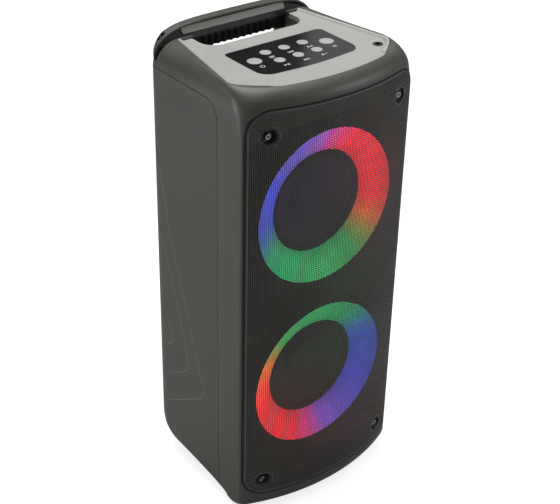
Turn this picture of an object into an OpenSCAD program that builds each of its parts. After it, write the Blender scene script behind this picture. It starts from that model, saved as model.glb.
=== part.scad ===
// Portable party speaker with two 165 mm woofers behind one bowed metal grille,
// light rings around the woofers, a key pad on the deck and a carry handle
// across the rear of the deck.
//
// Every module is drawn about the middle of the front: X runs across, Y is the
// depth behind the side edges of the grille and Z is the height above the
// point midway between the woofers. place() moves that point so that the
// speaker stands on Z = 0 with its footprint centred on the origin.

/* [Cabinet] */
// Width over the side panels
body_w = 248; // [244:1:252]
// Depth behind the side edges of the grille
body_rear = 196; // [192:1:200]
// How far the middle of the front bows out
bow = 28; // [26:1:29]
// Height of the cabinet below the midpoint of the woofers
base_drop = 288; // [286:1:292]
// Height of the deck above the midpoint of the woofers
deck_rise = 294; // [293:0.5:295]
// Height of the handle above the midpoint of the woofers
handle_rise = 307; // [306:1:310]
// Wall thickness of the moulded shells
wall = 3; // [2.5:0.25:3]
// Depth of the joint between the front shell and the rear cabinet
seam_depth = 46; // [44:1:48]
// Height of the rubber feet under the cabinet
foot_h = 6; // [4:1:10]

/* [Front] */
// Distance between the centres of the two woofers
driver_pitch = 241; // [236:1:244]
// Outside radius of a light ring
ring_r = 100; // [99:0.5:100.5]
// Inside radius of a light ring, where it meets the woofer
ring_inner_r = 65.9; // [65:0.1:67]
// Depth that a light ring slopes back to at its inner edge
ring_slope = 16.7; // [15:0.1:17]
// Half of the width of the grille
grille_half = 120.5; // [120:0.1:121]
// Height of the top edge of the grille
grille_top = 274; // [270:1:274]
// Height of the bottom edge of the grille
grille_bottom = -264; // [-264:1:-260]
// Radius of the grille's corners
grille_corner = 28; // [24:1:30]
// Thickness of the grille sheet
grille_t = 0.8; // [0.8:0.1:1.2]

/* [Keys] */
// Radius of the six small keys
small_key_r = 6.8; // [6:0.1:7]
// Radius of the two large keys
large_key_r = 8.8; // [8:0.1:9]
// Distance that a key travels
key_travel = 1; // [0.5:0.1:1]
// Sideways spacing of the small keys
key_pitch_x = 27; // [26:0.5:28]
// Spacing between the two rows of small keys
key_pitch_y = 26.6; // [25:0.1:28]

/* [Handle] */
// Half of the width of the hand opening
grip_half = 68; // [64:1:70]
// Height of the underside of the grip
grip_under = 273; // [272:1:275]
// Number of finger ribs on the grip
rib_count = 11; // [7:1:13]

/* [Hidden] */
$fn = 64;
eps = 0.01;
half_w = body_w / 2;
bow_r = (half_w * half_w + bow * bow) / (2 * bow);
bow_axis_y = bow_r - bow;
driver_zs = [driver_pitch / 2, -driver_pitch / 2];

// The footprint runs from the bow of the front to the rear face.
face_y = -(body_rear + 1 - bow) / 2;
mid_z = base_drop + foot_h;

// Depths of the front stack
ledge_front = 21.5;
baffle_front = 25.5;
baffle_rear = 33.5;
window_half = 102;
window_rise = 224;
baffle_half = 108;
baffle_rise = 232;
front_cavity_half = 117;

// Grille fasteners
grille_screw_x = 95.5;
grille_screw_z = 242;
cup_r = 9.2;
cup_floor = -5.2;

// Deck and keys
panel_floor = deck_rise - 7;
panel_field = deck_rise - 2.5;
panel_front = -11.5;
overlay_top = deck_rise - 2.8;
deck_plate_t = 3;
deck_underside = panel_floor - deck_plate_t;
key_gap = 0.2;
key_flange_top = panel_floor - 0.1;
key_flange_t = 1.5;
key_stem_bottom = panel_floor - 3.4;
key_row_mid_y = 73.4;
large_key_x = 52.5;
board_top = panel_floor - 7;
board_t = 1.6;

// Microphone socket on the deck
mic_x = 95;
mic_y = 31;
mic_bore_r = 3.25;
mic_top = panel_field + 0.6;
mic_bore_length = 26;

// Handle
hoop_front = 180;
hoop_rear = body_rear + 1;
hoop_half = 120;
hoop_corner = 34;
hoop_plan_r = 30;
slot_front = 136;
slot_floor = 240;
slot_half = 70;
slot_scoop_r = 35;
shoulder_front = 172.5;
shoulder_top = 271;

// Rear panel
jack_z = 150;
jack_w = 110;
jack_h = 46;
jack_recess = 4;
usb_x = 28;
aux_x = 0;
dc_x = -28;
aux_bore_r = 1.8;
dc_bore_r = 2.8;

// Bass port
port_z = 0;
port_r = 24;
port_wall = 2.5;
port_length = 85;

// Battery pack on the floor of the cabinet
battery_y = 62;
battery_floor = -base_drop + wall + 0.1;

// Case screws
case_screw_x = 108;
case_screw_zs = [-262, -92, 92, 236];
well_r = 5.5;

// ---------------------------------------------------------------- helpers

module place() {
    translate([0, face_y, mid_z]) children();
}

// Local Z becomes depth, at the given height on the front.
module facing_front(x, z) {
    translate([x, 0, z]) rotate([-90, 0, 0]) children();
}

// A shape drawn in depth and height, swept from x0 to x1.
module sweep_x(x0, x1) {
    translate([x0, 0, 0]) rotate([90, 0, 90]) linear_extrude(x1 - x0) children();
}

// A shape drawn in width and height, swept in depth from y0 to y1.
module sweep_y(y0, y1) {
    translate([0, y1, 0]) rotate([90, 0, 0]) linear_extrude(y1 - y0) children();
}

function arc(cx, cy, r, a0, a1, n, skip = 0) = [
    for (i = [skip:n]) let (a = a0 + (a1 - a0) * i / n) [cx + r * cos(a), cy + r * sin(a)]
];

// Rectangle with true round corners
module round_rect(x0, x1, y0, y1, r) {
    translate([x0 + r, y0]) square([x1 - x0 - 2 * r, y1 - y0]);
    translate([x0, y0 + r]) square([x1 - x0, y1 - y0 - 2 * r]);
    for (x = [x0 + r, x1 - r], y = [y0 + r, y1 - r]) translate([x, y]) circle(r);
}

// How far an edge rounded over a wide and b high has moved in at h from its end
function round_in(h, a, b) = h >= b ? 0 : a * (1 - sqrt(1 - pow(1 - h / b, 2)));

// Horizontal outline of the cabinet: a bowed front, straight sides that may
// close in towards the rear, and round corners.
function plan_outline(front_half, rear_half, front, rear, front_r, rear_r) =
    let (
        axis_y = front + bow_r,
        cx = front_half - front_r,
        cy = axis_y - sqrt(pow(bow_r - front_r, 2) - cx * cx),
        a = atan2(cy - axis_y, cx)
    )
    concat(
        arc(0, axis_y, bow_r, -180 - a, a, 14, 1),
        arc(cx, cy, front_r, a, 0, 6, 1),
        arc(rear_half - rear_r, rear - rear_r, rear_r, 0, 90, 5),
        arc(rear_r - rear_half, rear - rear_r, rear_r, 90, 180, 5),
        arc(-cx, cy, front_r, 180, 180 - a, 6)
    );

// Horizontal outline of the body, drawn in by inset, at a height given as
// its distance above the bottom and below the deck
function body_ring(inset, above, below) =
    let (side_in = round_in(above, 5, 14) + inset)
    plan_outline(
        half_w - side_in - round_in(below, 8, 30),
        half_w - side_in - round_in(below, 32, 36) - round_in(above, 30, 38),
        -bow + inset + round_in(above, 16, 20) + round_in(below, 20, 20),
        body_rear - inset - round_in(above, 55, 55),
        8 + round_in(above, 22, 22) + 40 * pow(max(0, 1 - below / 72), 2),
        32
    );

// Cabinet body, drawn in by inset on every side: outlines stacked from the
// bottom to the deck
module body_solid(inset) {
    heights = concat(
        [for (h = [0, 1.5, 5, 11, 20, 38, 55]) h - base_drop],
        [for (h = [72, 54, 38, 24, 14, 8, 4, 1.2, 0]) deck_rise - h]
    );
    points = [
        for (z = heights)
        let (
            above = z + base_drop,
            below = deck_rise - z,
            level = z + inset * (round_in(above, 1, 55) - round_in(below, 1, 36))
        )
        for (p = body_ring(inset, above, below)) [p[0], p[1], level]
    ];
    n = len(points) / len(heights);
    top = len(points) - n;
    polyhedron(points, concat(
        [[for (i = [0:n - 1]) i]],
        [for (k = [0:n:top - n], i = [0:n - 1]) [k + i, k + n + i, k + n + (i + 1) % n]],
        [for (k = [0:n:top - n], i = [0:n - 1]) [k + i, k + n + (i + 1) % n, k + (i + 1) % n]],
        [[for (i = [n - 1:-1:0]) top + i]]
    ));
}

// Everything on the front side of the joint between the two shells
module front_region(gap) {
    seam_top = 268;
    corner = 22 - gap;
    depth = seam_depth + gap;
    height = seam_top - gap;
    sweep_x(-half_w - 20, half_w + 20)
    polygon(concat(
        [[-60, -base_drop - 20], [depth, -base_drop - 20]],
        arc(depth + corner, height - corner, corner, 180, 90, 8),
        [[body_rear + 30, height], [body_rear + 30, 360], [-60, 360]]
    ));
}

// ---------------------------------------------------------------- handle shapes

// Hand opening: down behind the deck, then out through the rear
module grip_opening(grow) {
    front = slot_front - grow;
    floor_z = slot_floor - grow;
    r = slot_scoop_r;
    intersection() {
        sweep_x(-slot_half - grow, slot_half + grow)
        polygon(concat(
            [[front, 340]],
            arc(front + r, floor_z + r, r, 180, 270, 8),
            [[body_rear + 20, floor_z], [body_rear + 20, 340]]
        ));
        translate([0, 0, 200])
        linear_extrude(140)
        round_rect(-slot_half - grow, slot_half + grow, front, body_rear + 60, 20);
    }
}

// Arch of the handle seen from the front
function hoop_outline(inset) =
    let (
        half = hoop_half - inset,
        r = hoop_corner - inset,
        crown = 900,
        top = handle_rise - inset,
        a = acos((half - r) / (crown - r)),
        corner_z = top - crown + (crown - r) * sin(a)
    )
    concat(
        [[half, 268.3]],
        arc(half - r, corner_z, r, 0, a, 10),
        arc(0, top - crown, crown, a, 180 - a, 16, 1),
        arc(r - half, corner_z, r, 180 - a, 180, 10, 1),
        [[-half, 268.3]]
    );

// Hand opening under the arch seen from the front
module under_grip(grow) {
    round_rect(-grip_half - grow, grip_half + grow, 200, grip_under + grow, 14);
}

// Depth and height section of the inlay bar on the grip
module inlay_section(grow) {
    polygon([
        [182.2 - grow, 293 - grow], [184.9 + grow, 293 - grow],
        [188.5 + grow, 300.5 + grow], [186 - grow, 300.5 + grow]
    ]);
}

// Space within the arch seen from the front, carried on down below the shoulders
module hoop_hollow() {
    polygon([for (p = hoop_outline(wall)) [p[0], p[1] < 268.5 ? 260 : p[1]]]);
}

// Plan of the handle with its rounded rear corners, drawn in by inset
module hoop_plan(inset) {
    half = hoop_half + 1 - inset;
    round_rect(-half, half, 100, hoop_rear - inset, hoop_plan_r - inset);
}

// Hollow arch, open towards the front and from below over the hand opening
module handle_arch() {
    difference() {
        intersection() {
            sweep_y(hoop_front, hoop_rear + 5) polygon(hoop_outline(0));
            linear_extrude(400) hoop_plan(0);
        }
        intersection() {
            sweep_y(hoop_front - 5, hoop_rear) hoop_hollow();
            linear_extrude(400) hoop_plan(wall);
        }
        sweep_y(hoop_front - 5, hoop_rear + 10) under_grip(2);
    }
}

// Oval eye for a shoulder strap, through the shoulder of the handle
module strap_eyes() {
    for (side = [-1, 1])
    translate([side * 104, 187.5, 296])
    rotate([0, side * 32, 0])
    for (x = [-4, 4]) translate([x, 0, -12]) cylinder(r = 3, h = 24);
}

// ---------------------------------------------------------------- shells

// Outline of the light panel, drawn in by inset
function panel_outline(inset) =
    let (front = panel_front + inset)
    concat(
        [[inset - 90.5, 172 - inset], [inset - 116.5, 36 + inset], [inset - 110, 26 + inset]],
        [[-97, 14.5 + inset], [-85, 6.5 + inset], [-79, 0.5 + inset], [-71, -2.8 + inset]],
        [for (i = [-6:6]) let (x = i * 10) [x, front + x * x / 577]],
        [[71, -2.8 + inset], [79, 0.5 + inset], [85, 6.5 + inset], [97, 14.5 + inset]],
        [[110 - inset, 26 + inset], [116.5 - inset, 36 + inset], [90.5 - inset, 172 - inset]],
        [[84, 169 - inset]]
    );

module panel_shape(inset) {
    difference() {
        polygon(concat(panel_outline(inset), [[-84, 169 - inset]]));
        round_rect(-slot_half - 2 - inset, slot_half + 2 + inset,
            slot_front - 2 - inset, body_rear + 40, 20);
    }
}

// Outline of the key pad
function pad_outline(inset) =
    let (half = 71 - inset, rear = 109 - inset, r = 7, front_r = 18)
    concat(
        arc(r - half, rear - r, r, 180, 90, 5),
        arc(half - r, rear - r, r, 90, 0, 5),
        arc(half - front_r, 31 + front_r + inset, front_r, 0, -82, 6),
        [for (i = [4:-1:-4]) let (x = i * 11) [x, 27.6 + x * x / 700 + inset]],
        arc(front_r - half, 31 + front_r + inset, front_r, -98, -180, 6)
    );

module front_shell() {
    color([0.27, 0.265, 0.255])
    place() {
        difference() {
            intersection() {
                body_solid(0);
                front_region(0);
            }
            shell_hollow();
            front_openings();
            deck_openings();
            grip_opening(0);
            foot_holes();
            translate([-half_w, shoulder_front, shoulder_top]) cube([body_w, 60, 60]);
        }
        difference() {
            handle_arch();
            strap_eyes();
        }
        grille_posts();
        case_bosses();
        board_bosses();
    }
}

// Hollow of the front shell, open to the rear cabinet behind and below it
module shell_hollow() {
    difference() {
        body_solid(wall);
        translate([-half_w, -60, -base_drop]) cube([body_w, 60 + baffle_front, 600]);
        translate([-half_w, -60, deck_underside]) cube([body_w, 300, 40]);
        translate([-half_w, shoulder_front - wall, shoulder_top - wall]) cube([body_w, 60, 60]);
        grip_opening(wall);
    }
    translate([-92, -4, 277]) cube([184, baffle_front + 5, deck_underside - 277]);
    translate([-84, 0, -base_drop + wall]) cube([168, baffle_front + 1, 16]);
}

// Openings from the front: the grille pocket, the space behind it and the woofer window
module front_openings() {
    sweep_y(-60, ledge_front)
    round_rect(-front_cavity_half, front_cavity_half, grille_bottom + 4, grille_top - 4, 24);
    difference() {
        sweep_y(-60, 30)
        round_rect(-grille_half - 1.5, grille_half + 1.5,
            grille_bottom - 1.5, grille_top + 1.5, grille_corner + 1.5);
        translate([0, bow_axis_y, -400]) cylinder(r = bow_r - grille_t - 0.1, h = 800, $fn = 200);
    }
    sweep_y(0, baffle_front + 1)
    round_rect(-window_half, window_half, -window_rise, window_rise, 30);
    for (p = baffle_screw_points) facing_front(p[0], p[1])
    translate([0, 0, 22]) cylinder(r = 1.5, h = 5, $fn = 24);
}

// Openings in the deck: the panel seat, the key window and the microphone socket
module deck_openings() {
    translate([0, 0, panel_floor]) linear_extrude(20) panel_shape(-0.2);
    translate([0, 0, panel_floor - 10]) linear_extrude(20) polygon(pad_outline(4));
    translate([mic_x, mic_y, panel_floor - 10]) cylinder(r = 6.3, h = 30);
    for (p = board_screw_points) translate([p[0], p[1], board_top - 1])
    cylinder(r = 1.2, h = 5.5, $fn = 24);
}

// Posts that carry the grille screws
module grille_posts() {
    for (x = [-1, 1], z = [-1, 1])
    facing_front(x * grille_screw_x, z * grille_screw_z)
    difference() {
        translate([0, 0, cup_floor + grille_t]) cylinder(r = 6, h = ledge_front - cup_floor - grille_t);
        translate([0, 0, cup_floor]) cylinder(r = 2.05, h = 20);
    }
}

// Bosses that take the case screws
module case_bosses() {
    for (x = [-1, 1], z = case_screw_zs)
    facing_front(x * case_screw_x, z)
    difference() {
        translate([0, 0, baffle_front]) cylinder(r = well_r, h = seam_depth - baffle_front);
        translate([0, 0, 30]) cylinder(r = 1.9, h = 30, $fn = 24);
    }
}

board_screw_points = [[-79, 104], [79, 104], [-76, 38], [76, 38]];

// Bosses under the deck that carry the control board
module board_bosses() {
    for (p = board_screw_points)
    translate([p[0], p[1], board_top])
    difference() {
        cylinder(r = 3.5, h = deck_underside - board_top, $fn = 32);
        translate([0, 0, -1]) cylinder(r = 1.2, h = 20, $fn = 24);
    }
}

module rear_cabinet() {
    color([0.30, 0.295, 0.285])
    place()
    difference() {
        union() {
            difference() {
                body_solid(0);
                front_region(0.3);
                difference() {
                    body_solid(wall);
                    grip_opening(wall);
                    jack_pocket(wall);
                }
            }
            intersection() {
                for (x = [-1, 1], z = case_screw_zs)
                facing_front(x * case_screw_x, z)
                translate([0, 0, seam_depth + 0.3]) cylinder(r = well_r, h = 160);
                body_solid(1);
            }
        }
        grip_opening(0);
        jack_pocket(0);
        sweep_y(body_rear - 20, body_rear)
        round_rect(-jack_w / 2 + 12, jack_w / 2 - 12, jack_z - jack_h / 2 + 7, jack_z + jack_h / 2 - 7, 4);
        facing_front(0, port_z) translate([0, 0, 150]) cylinder(r = port_r + port_wall, h = 60);
        for (x = [-1, 1], z = case_screw_zs)
        facing_front(x * case_screw_x, z) {
            translate([0, 0, seam_depth - 5]) cylinder(r = 2.2, h = 30, $fn = 24);
            translate([0, 0, seam_depth + 5]) cylinder(r = 4, h = 170, $fn = 32);
        }
        foot_holes();
    }
}

foot_points = [[-80, 36], [80, 36], [-60, 112], [60, 112]];

// Holes in the floor for the foot screws
module foot_holes() {
    for (p = foot_points)
    translate([p[0], p[1], -base_drop - 1]) cylinder(r = 1.7, h = 6, $fn = 24);
}

// Recess in the rear wall that holds the jack panel
module jack_pocket(grow) {
    sweep_y(body_rear - jack_recess - 2.5 - grow, body_rear + 20)
    round_rect(-jack_w / 2 - grow, jack_w / 2 + grow,
        jack_z - jack_h / 2 - grow, jack_z + jack_h / 2 + grow, 6);
}

// ---------------------------------------------------------------- front

baffle_screw_points = [
    for (x = [-105, 105], z = [-205, -70, 70, 205]) [x, z],
    for (x = [-50, 50], z = [-228, 228]) [x, z]
];

module baffle() {
    color([0.12, 0.12, 0.12])
    place()
    difference() {
        sweep_y(baffle_front, baffle_rear)
        round_rect(-baffle_half, baffle_half, -baffle_rise, baffle_rise, 30);
        for (z = driver_zs) {
            facing_front(0, z) translate([0, 0, 20]) cylinder(r = 73, h = 20, $fn = 128);
            for (a = [45:90:315])
            facing_front(0, z) rotate([0, 0, a]) translate([77.5, 0, 20]) cylinder(r = 1.75, h = 20, $fn = 24);
        }
        for (p = baffle_screw_points) facing_front(p[0], p[1])
        translate([0, 0, 20]) cylinder(r = 1.9, h = 20, $fn = 24);
        for (z = driver_zs) facing_front(0, z) translate([91, 0, 20]) cylinder(r = 3, h = 20, $fn = 32);
        for (x = [-1, 1], z = case_screw_zs)
        facing_front(x * case_screw_x, z) translate([0, 0, 20]) cylinder(r = well_r + 0.3, h = 20);
    }
}

module baffle_screws() {
    color([0.6, 0.6, 0.62])
    place()
    for (p = baffle_screw_points) facing_front(p[0], p[1]) {
        translate([0, 0, 22.5]) cylinder(r = 1.4, h = 11.1, $fn = 24);
        translate([0, 0, baffle_rear]) cylinder(r1 = 3.2, r2 = 2.4, h = 2, $fn = 32);
    }
}

module grille() {
    color([0.2, 0.2, 0.2])
    place() {
        difference() {
            sheet(grille_half, 0);
            for (x = [-1, 1], z = [-1, 1])
            facing_front(x * grille_screw_x, z * grille_screw_z)
            translate([0, 0, -40]) cylinder(r = cup_r - grille_t, h = 60);
        }
        for (x = [-1, 1], z = [-1, 1])
        intersection() {
            facing_front(x * grille_screw_x, z * grille_screw_z)
            difference() {
                translate([0, 0, -30]) cylinder(r = cup_r, h = 30 + cup_floor + grille_t);
                translate([0, 0, -31]) cylinder(r = cup_r - grille_t, h = 31 + cup_floor);
                cylinder(r = 2.4, h = 40, center = true, $fn = 32);
            }
            translate([0, bow_axis_y, -400]) cylinder(r = bow_r, h = 800, $fn = 200);
        }
    }
}

// Bowed sheet with round corners
module sheet(half, drop) {
    grow = half - grille_half;
    intersection() {
        sweep_y(-40, 20)
        round_rect(-half, half, grille_bottom - grow, grille_top + grow, grille_corner + grow);
        translate([0, bow_axis_y, -400])
        difference() {
            cylinder(r = bow_r - drop, h = 800, $fn = 200);
            translate([0, 0, -1]) cylinder(r = bow_r - grille_t, h = 802, $fn = 200);
        }
    }
}

module grille_trim() {
    color([0.05, 0.05, 0.05])
    place()
    difference() {
        sheet(grille_half + 1.3, 0.4);
        sweep_y(-60, 60)
        round_rect(-grille_half - 0.1, grille_half + 0.1,
            grille_bottom - 0.1, grille_top + 0.1, grille_corner + 0.1);
    }
}

module grille_screws() {
    color([0.55, 0.55, 0.56])
    place()
    for (x = [-1, 1], z = [-1, 1])
    facing_front(x * grille_screw_x, z * grille_screw_z)
    difference() {
        union() {
            translate([0, 0, cup_floor - 4]) cylinder(r = 3.5, h = 4);
            translate([0, 0, cup_floor - 0.5]) cylinder(r = 1.95, h = 18, $fn = 32);
        }
        translate([0, 0, cup_floor - 4.5]) cylinder(r = 1.73, h = 2.7, $fn = 6);
    }
}

// Sloped translucent ring that spreads the light around a woofer
module light_ring(z) {
    skin = 1.5;
    place() facing_front(0, z)
    rotate_extrude($fn = 128)
    polygon([
        [ring_r, 0], [ring_r, baffle_front], [ring_r - skin, baffle_front],
        [ring_r - skin, 2.6], [ring_inner_r + 1.2, ring_slope + skin],
        [ring_inner_r, ring_slope + skin], [ring_inner_r, ring_slope]
    ]);
}

module upper_light_ring() { color([0.8, 0.85, 0.95]) light_ring(driver_zs[0]); }
module lower_light_ring() { color([0.8, 0.85, 0.95]) light_ring(driver_zs[1]); }

module led_board(z) {
    place() facing_front(0, z) {
        difference() {
            translate([0, 0, baffle_front - 1.6]) cylinder(r = 97.5, h = 1.6, $fn = 128);
            translate([0, 0, 10]) cylinder(r = 84.5, h = 30, $fn = 128);
        }
        for (i = [0:23])
        rotate([0, 0, i * 15 + 7.5]) translate([91, 0, baffle_front - 2.4])
        cube([5, 5, 1.6], center = true);
    }
}

module upper_led_board() { color([0.85, 0.85, 0.8]) led_board(driver_zs[0]); }
module lower_led_board() { color([0.85, 0.85, 0.8]) led_board(driver_zs[1]); }

// ---------------------------------------------------------------- woofers

// Pressed steel frame with six windows
module basket(z) {
    place() facing_front(0, z)
    difference() {
        rotate_extrude($fn = 128)
        polygon([
            [82.5, 22.5], [82.5, 24.5], [72.5, 24.5], [70.5, 31], [52, 58], [52, 66],
            [36, 66], [36, 64], [50, 64], [50, 59.5], [46, 59.5], [46, 58], [50.5, 57],
            [68.5, 31], [70.3, 26], [70.3, 22.5]
        ]);
        for (a = [0:60:300])
        rotate([0, 0, a]) translate([40, -16, 34]) cube([60, 32, 19]);
        for (a = [45:90:315])
        rotate([0, 0, a]) translate([77.5, 0, 20]) cylinder(r = 2.3, h = 20, $fn = 24);
    }
}

module upper_basket() { color([0.25, 0.25, 0.26]) basket(driver_zs[0]); }
module lower_basket() { color([0.25, 0.25, 0.26]) basket(driver_zs[1]); }

module driver_gaskets() {
    color([0.06, 0.06, 0.06])
    place()
    for (z = driver_zs) facing_front(0, z)
    difference() {
        translate([0, 0, 24.5]) cylinder(r = 82, h = 1, $fn = 128);
        translate([0, 0, 20]) cylinder(r = 73.5, h = 10, $fn = 128);
        for (a = [45:90:315])
        rotate([0, 0, a]) translate([77.5, 0, 20]) cylinder(r = 2.3, h = 20, $fn = 24);
    }
}

module driver_screws() {
    color([0.15, 0.15, 0.15])
    place()
    for (z = driver_zs, a = [45:90:315]) facing_front(0, z)
    rotate([0, 0, a]) translate([77.5, 0, 0])
    difference() {
        union() {
            translate([0, 0, 20]) cylinder(r = 3.8, h = 2.5, $fn = 32);
            translate([0, 0, 22]) cylinder(r = 1.7, h = 11.3, $fn = 24);
        }
        for (turn = [0, 90]) rotate([0, 0, turn])
        translate([-2, -0.4, 19]) cube([4, 0.8, 2]);
    }
}

// Half-roll rubber surround
module surround(z) {
    mid_r = 62.5;
    roll = 5.5;
    skin = 0.8;
    crest = 3.6;
    seat = 22.5;
    place() facing_front(0, z)
    rotate_extrude($fn = 128)
    polygon(concat(
        [[57, seat], [57, seat - skin]],
        [for (i = [1:9]) let (a = 180 - i * 18)
            [mid_r + (roll - 0.4) * cos(a), seat - skin - crest * sin(a) * 0.92]],
        [[mid_r + roll, seat - skin], [73, seat - skin], [73, seat], [mid_r + roll - 0.8, seat]],
        [for (i = [9:-1:1]) let (a = 180 - i * 18)
            [mid_r + (roll - 1.2) * cos(a), seat - (crest - 0.4) * sin(a) * 0.85]]
    ));
}

module upper_surround() { color([0.1, 0.1, 0.1]) surround(driver_zs[0]); }
module lower_surround() { color([0.1, 0.1, 0.1]) surround(driver_zs[1]); }

cone_outer = 56.9;
cone_inner = 12.9;
cone_lip = 21.8;
cone_depth = 22;

// Depth of the front face of the cone at radius r
function cone_face(r) =
    cone_lip + cone_depth * (1 - pow((r - cone_inner) / (cone_outer - cone_inner), 1.25));

module cone(z) {
    skin = 0.9;
    steps = 10;
    span = cone_outer - cone_inner;
    place() facing_front(0, z)
    rotate_extrude($fn = 128)
    polygon(concat(
        [for (i = [0:steps]) let (r = cone_inner + span * i / steps) [r, cone_face(r)]],
        [for (i = [steps:-1:0]) let (r = cone_inner + span * i / steps) [r, cone_face(r) + skin]]
    ));
}

module upper_cone() { color([0.16, 0.13, 0.17]) cone(driver_zs[0]); }
module lower_cone() { color([0.16, 0.13, 0.17]) cone(driver_zs[1]); }

module dust_cap(z) {
    cap_r = 21;
    rise = 8;
    skin = 0.7;
    steps = 8;
    rim = cone_face(cap_r) - skin - 0.1;
    place() facing_front(0, z)
    rotate_extrude($fn = 96)
    polygon(concat(
        [for (i = [0:steps]) let (a = 90 * i / steps) [cap_r * sin(a), rim - rise * cos(a)]],
        [for (i = [steps:-1:0]) let (a = 90 * i / steps)
            [(cap_r - skin) * sin(a), rim + (i == steps ? skin : 0) - (rise - skin) * cos(a)]]
    ));
}

module upper_dust_cap() { color([0.12, 0.1, 0.13]) dust_cap(driver_zs[0]); }
module lower_dust_cap() { color([0.12, 0.1, 0.13]) dust_cap(driver_zs[1]); }

// Former tube with its copper winding
module voice_coil(z) {
    place() facing_front(0, z)
    rotate_extrude($fn = 96)
    polygon([[12.4, 42.5], [12.75, 42.5], [12.75, 64.5], [13.3, 64.5], [13.3, 73.5], [12.4, 73.5]]);
}

module upper_voice_coil() { color([0.72, 0.42, 0.2]) voice_coil(driver_zs[0]); }
module lower_voice_coil() { color([0.72, 0.42, 0.2]) voice_coil(driver_zs[1]); }

// Corrugated disc that centres the voice coil
module spider(z) {
    skin = 0.5;
    steps = 36;
    r0 = 12.95;
    r1 = 48.8;
    function wave(i) = 56.8 - (i < 3 || i > 33 ? 0 : 1.1 * (1 - cos(i * 60)) / 2);
    place() facing_front(0, z)
    rotate_extrude($fn = 96)
    polygon(concat(
        [for (i = [0:steps]) [r0 + (r1 - r0) * i / steps, wave(i)]],
        [for (i = [steps:-1:0]) [r0 + (r1 - r0) * i / steps, wave(i) + skin]]
    ));
}

module upper_spider() { color([0.75, 0.6, 0.3]) spider(driver_zs[0]); }
module lower_spider() { color([0.75, 0.6, 0.3]) spider(driver_zs[1]); }

// Ferrite ring
module magnet(z) {
    place() facing_front(0, z)
    rotate_extrude($fn = 96) polygon([[20, 71], [45, 71], [45, 89], [20, 89]]);
}

module upper_magnet() { color([0.2, 0.2, 0.21]) magnet(driver_zs[0]); }
module lower_magnet() { color([0.2, 0.2, 0.21]) magnet(driver_zs[1]); }

// Front plate, and the rear plate with its pole
module motor_steel(z) {
    place() facing_front(0, z)
    rotate_extrude($fn = 96) {
        polygon([[13.9, 66], [40, 66], [40, 71], [13.9, 71]]);
        polygon([[3, 64], [11.8, 64], [11.8, 89], [42, 89], [42, 95], [3, 95]]);
    }
}

module upper_motor_steel() { color([0.6, 0.6, 0.62]) motor_steel(driver_zs[0]); }
module lower_motor_steel() { color([0.6, 0.6, 0.62]) motor_steel(driver_zs[1]); }

// ---------------------------------------------------------------- deck

module top_panel() {
    color([0.66, 0.655, 0.64])
    place()
    difference() {
        translate([0, 0, panel_floor]) linear_extrude(deck_rise - panel_floor) panel_shape(0);
        translate([0, 0, panel_field])
        linear_extrude(10)
        intersection() {
            panel_shape(-1);
            polygon([[-99, -20], [99, -20], [108, 30], [99, 50], [95, 120], [80, 180],
                [-80, 180], [-95, 120], [-99, 50], [-108, 30]]);
        }
        translate([0, 0, panel_floor - 1]) linear_extrude(20) polygon(pad_outline(0));
        translate([mic_x, mic_y, panel_floor - 1]) cylinder(r = 6.3, h = 20);
    }
}

function key_r(i) = i < 2 ? large_key_r : small_key_r;
key_points = [
    [-large_key_x, key_row_mid_y], [large_key_x, key_row_mid_y],
    [-key_pitch_x, key_row_mid_y + key_pitch_y / 2],
    [0, key_row_mid_y + key_pitch_y / 2],
    [key_pitch_x, key_row_mid_y + key_pitch_y / 2],
    [-key_pitch_x, key_row_mid_y - key_pitch_y / 2],
    [0, key_row_mid_y - key_pitch_y / 2],
    [key_pitch_x, key_row_mid_y - key_pitch_y / 2]
];

module key_pad_overlay() {
    color([0.05, 0.05, 0.055])
    place()
    difference() {
        translate([0, 0, panel_floor]) linear_extrude(overlay_top - panel_floor) polygon(pad_outline(0.15));
        for (i = [0:7])
        translate([key_points[i][0], key_points[i][1], panel_floor - 1])
        cylinder(r = key_r(i) + key_gap, h = 10);
    }
}

// Key cap with the flange that keeps it in and the stem over its switch
module key(i) {
    color([0.72, 0.71, 0.70])
    place()
    translate([key_points[i][0], key_points[i][1], 0]) {
        translate([0, 0, key_flange_top - 0.5])
        cylinder(r = key_r(i), h = overlay_top + 0.5 - key_flange_top + 0.5);
        translate([0, 0, key_flange_top - key_flange_t]) cylinder(r = key_r(i) + 1.4, h = key_flange_t);
        translate([0, 0, key_stem_bottom]) cylinder(r = 2, h = 3, $fn = 32);
    }
}

module power_key() { key(0); }
module light_key() { key(1); }
module mode_key() { key(2); }
module previous_key() { key(3); }
module volume_up_key() { key(4); }
module play_key() { key(5); }
module next_key() { key(6); }
module volume_down_key() { key(7); }

module control_board() {
    color([0.1, 0.35, 0.18])
    place()
    difference() {
        translate([-84, 33, board_top - board_t]) cube([168, 76, board_t]);
        for (p = board_screw_points)
        translate([p[0], p[1], board_top - 5]) cylinder(r = 1.7, h = 10, $fn = 24);
    }
}

module key_switches() {
    color([0.15, 0.15, 0.16])
    place()
    for (p = key_points) translate([p[0], p[1], board_top]) {
        translate([-3, -3, 0]) cube([6, 6, 1.6]);
        cylinder(r = 1.7, h = key_stem_bottom - key_travel - 0.1 - board_top, $fn = 32);
    }
}

module control_board_screws() {
    color([0.6, 0.6, 0.62])
    place()
    for (p = board_screw_points) translate([p[0], p[1], board_top - board_t]) {
        translate([0, 0, -1.8]) cylinder(r = 2.7, h = 1.8, $fn = 32);
        translate([0, 0, -0.5]) cylinder(r = 1.1, h = 6, $fn = 24);
    }
}

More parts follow.
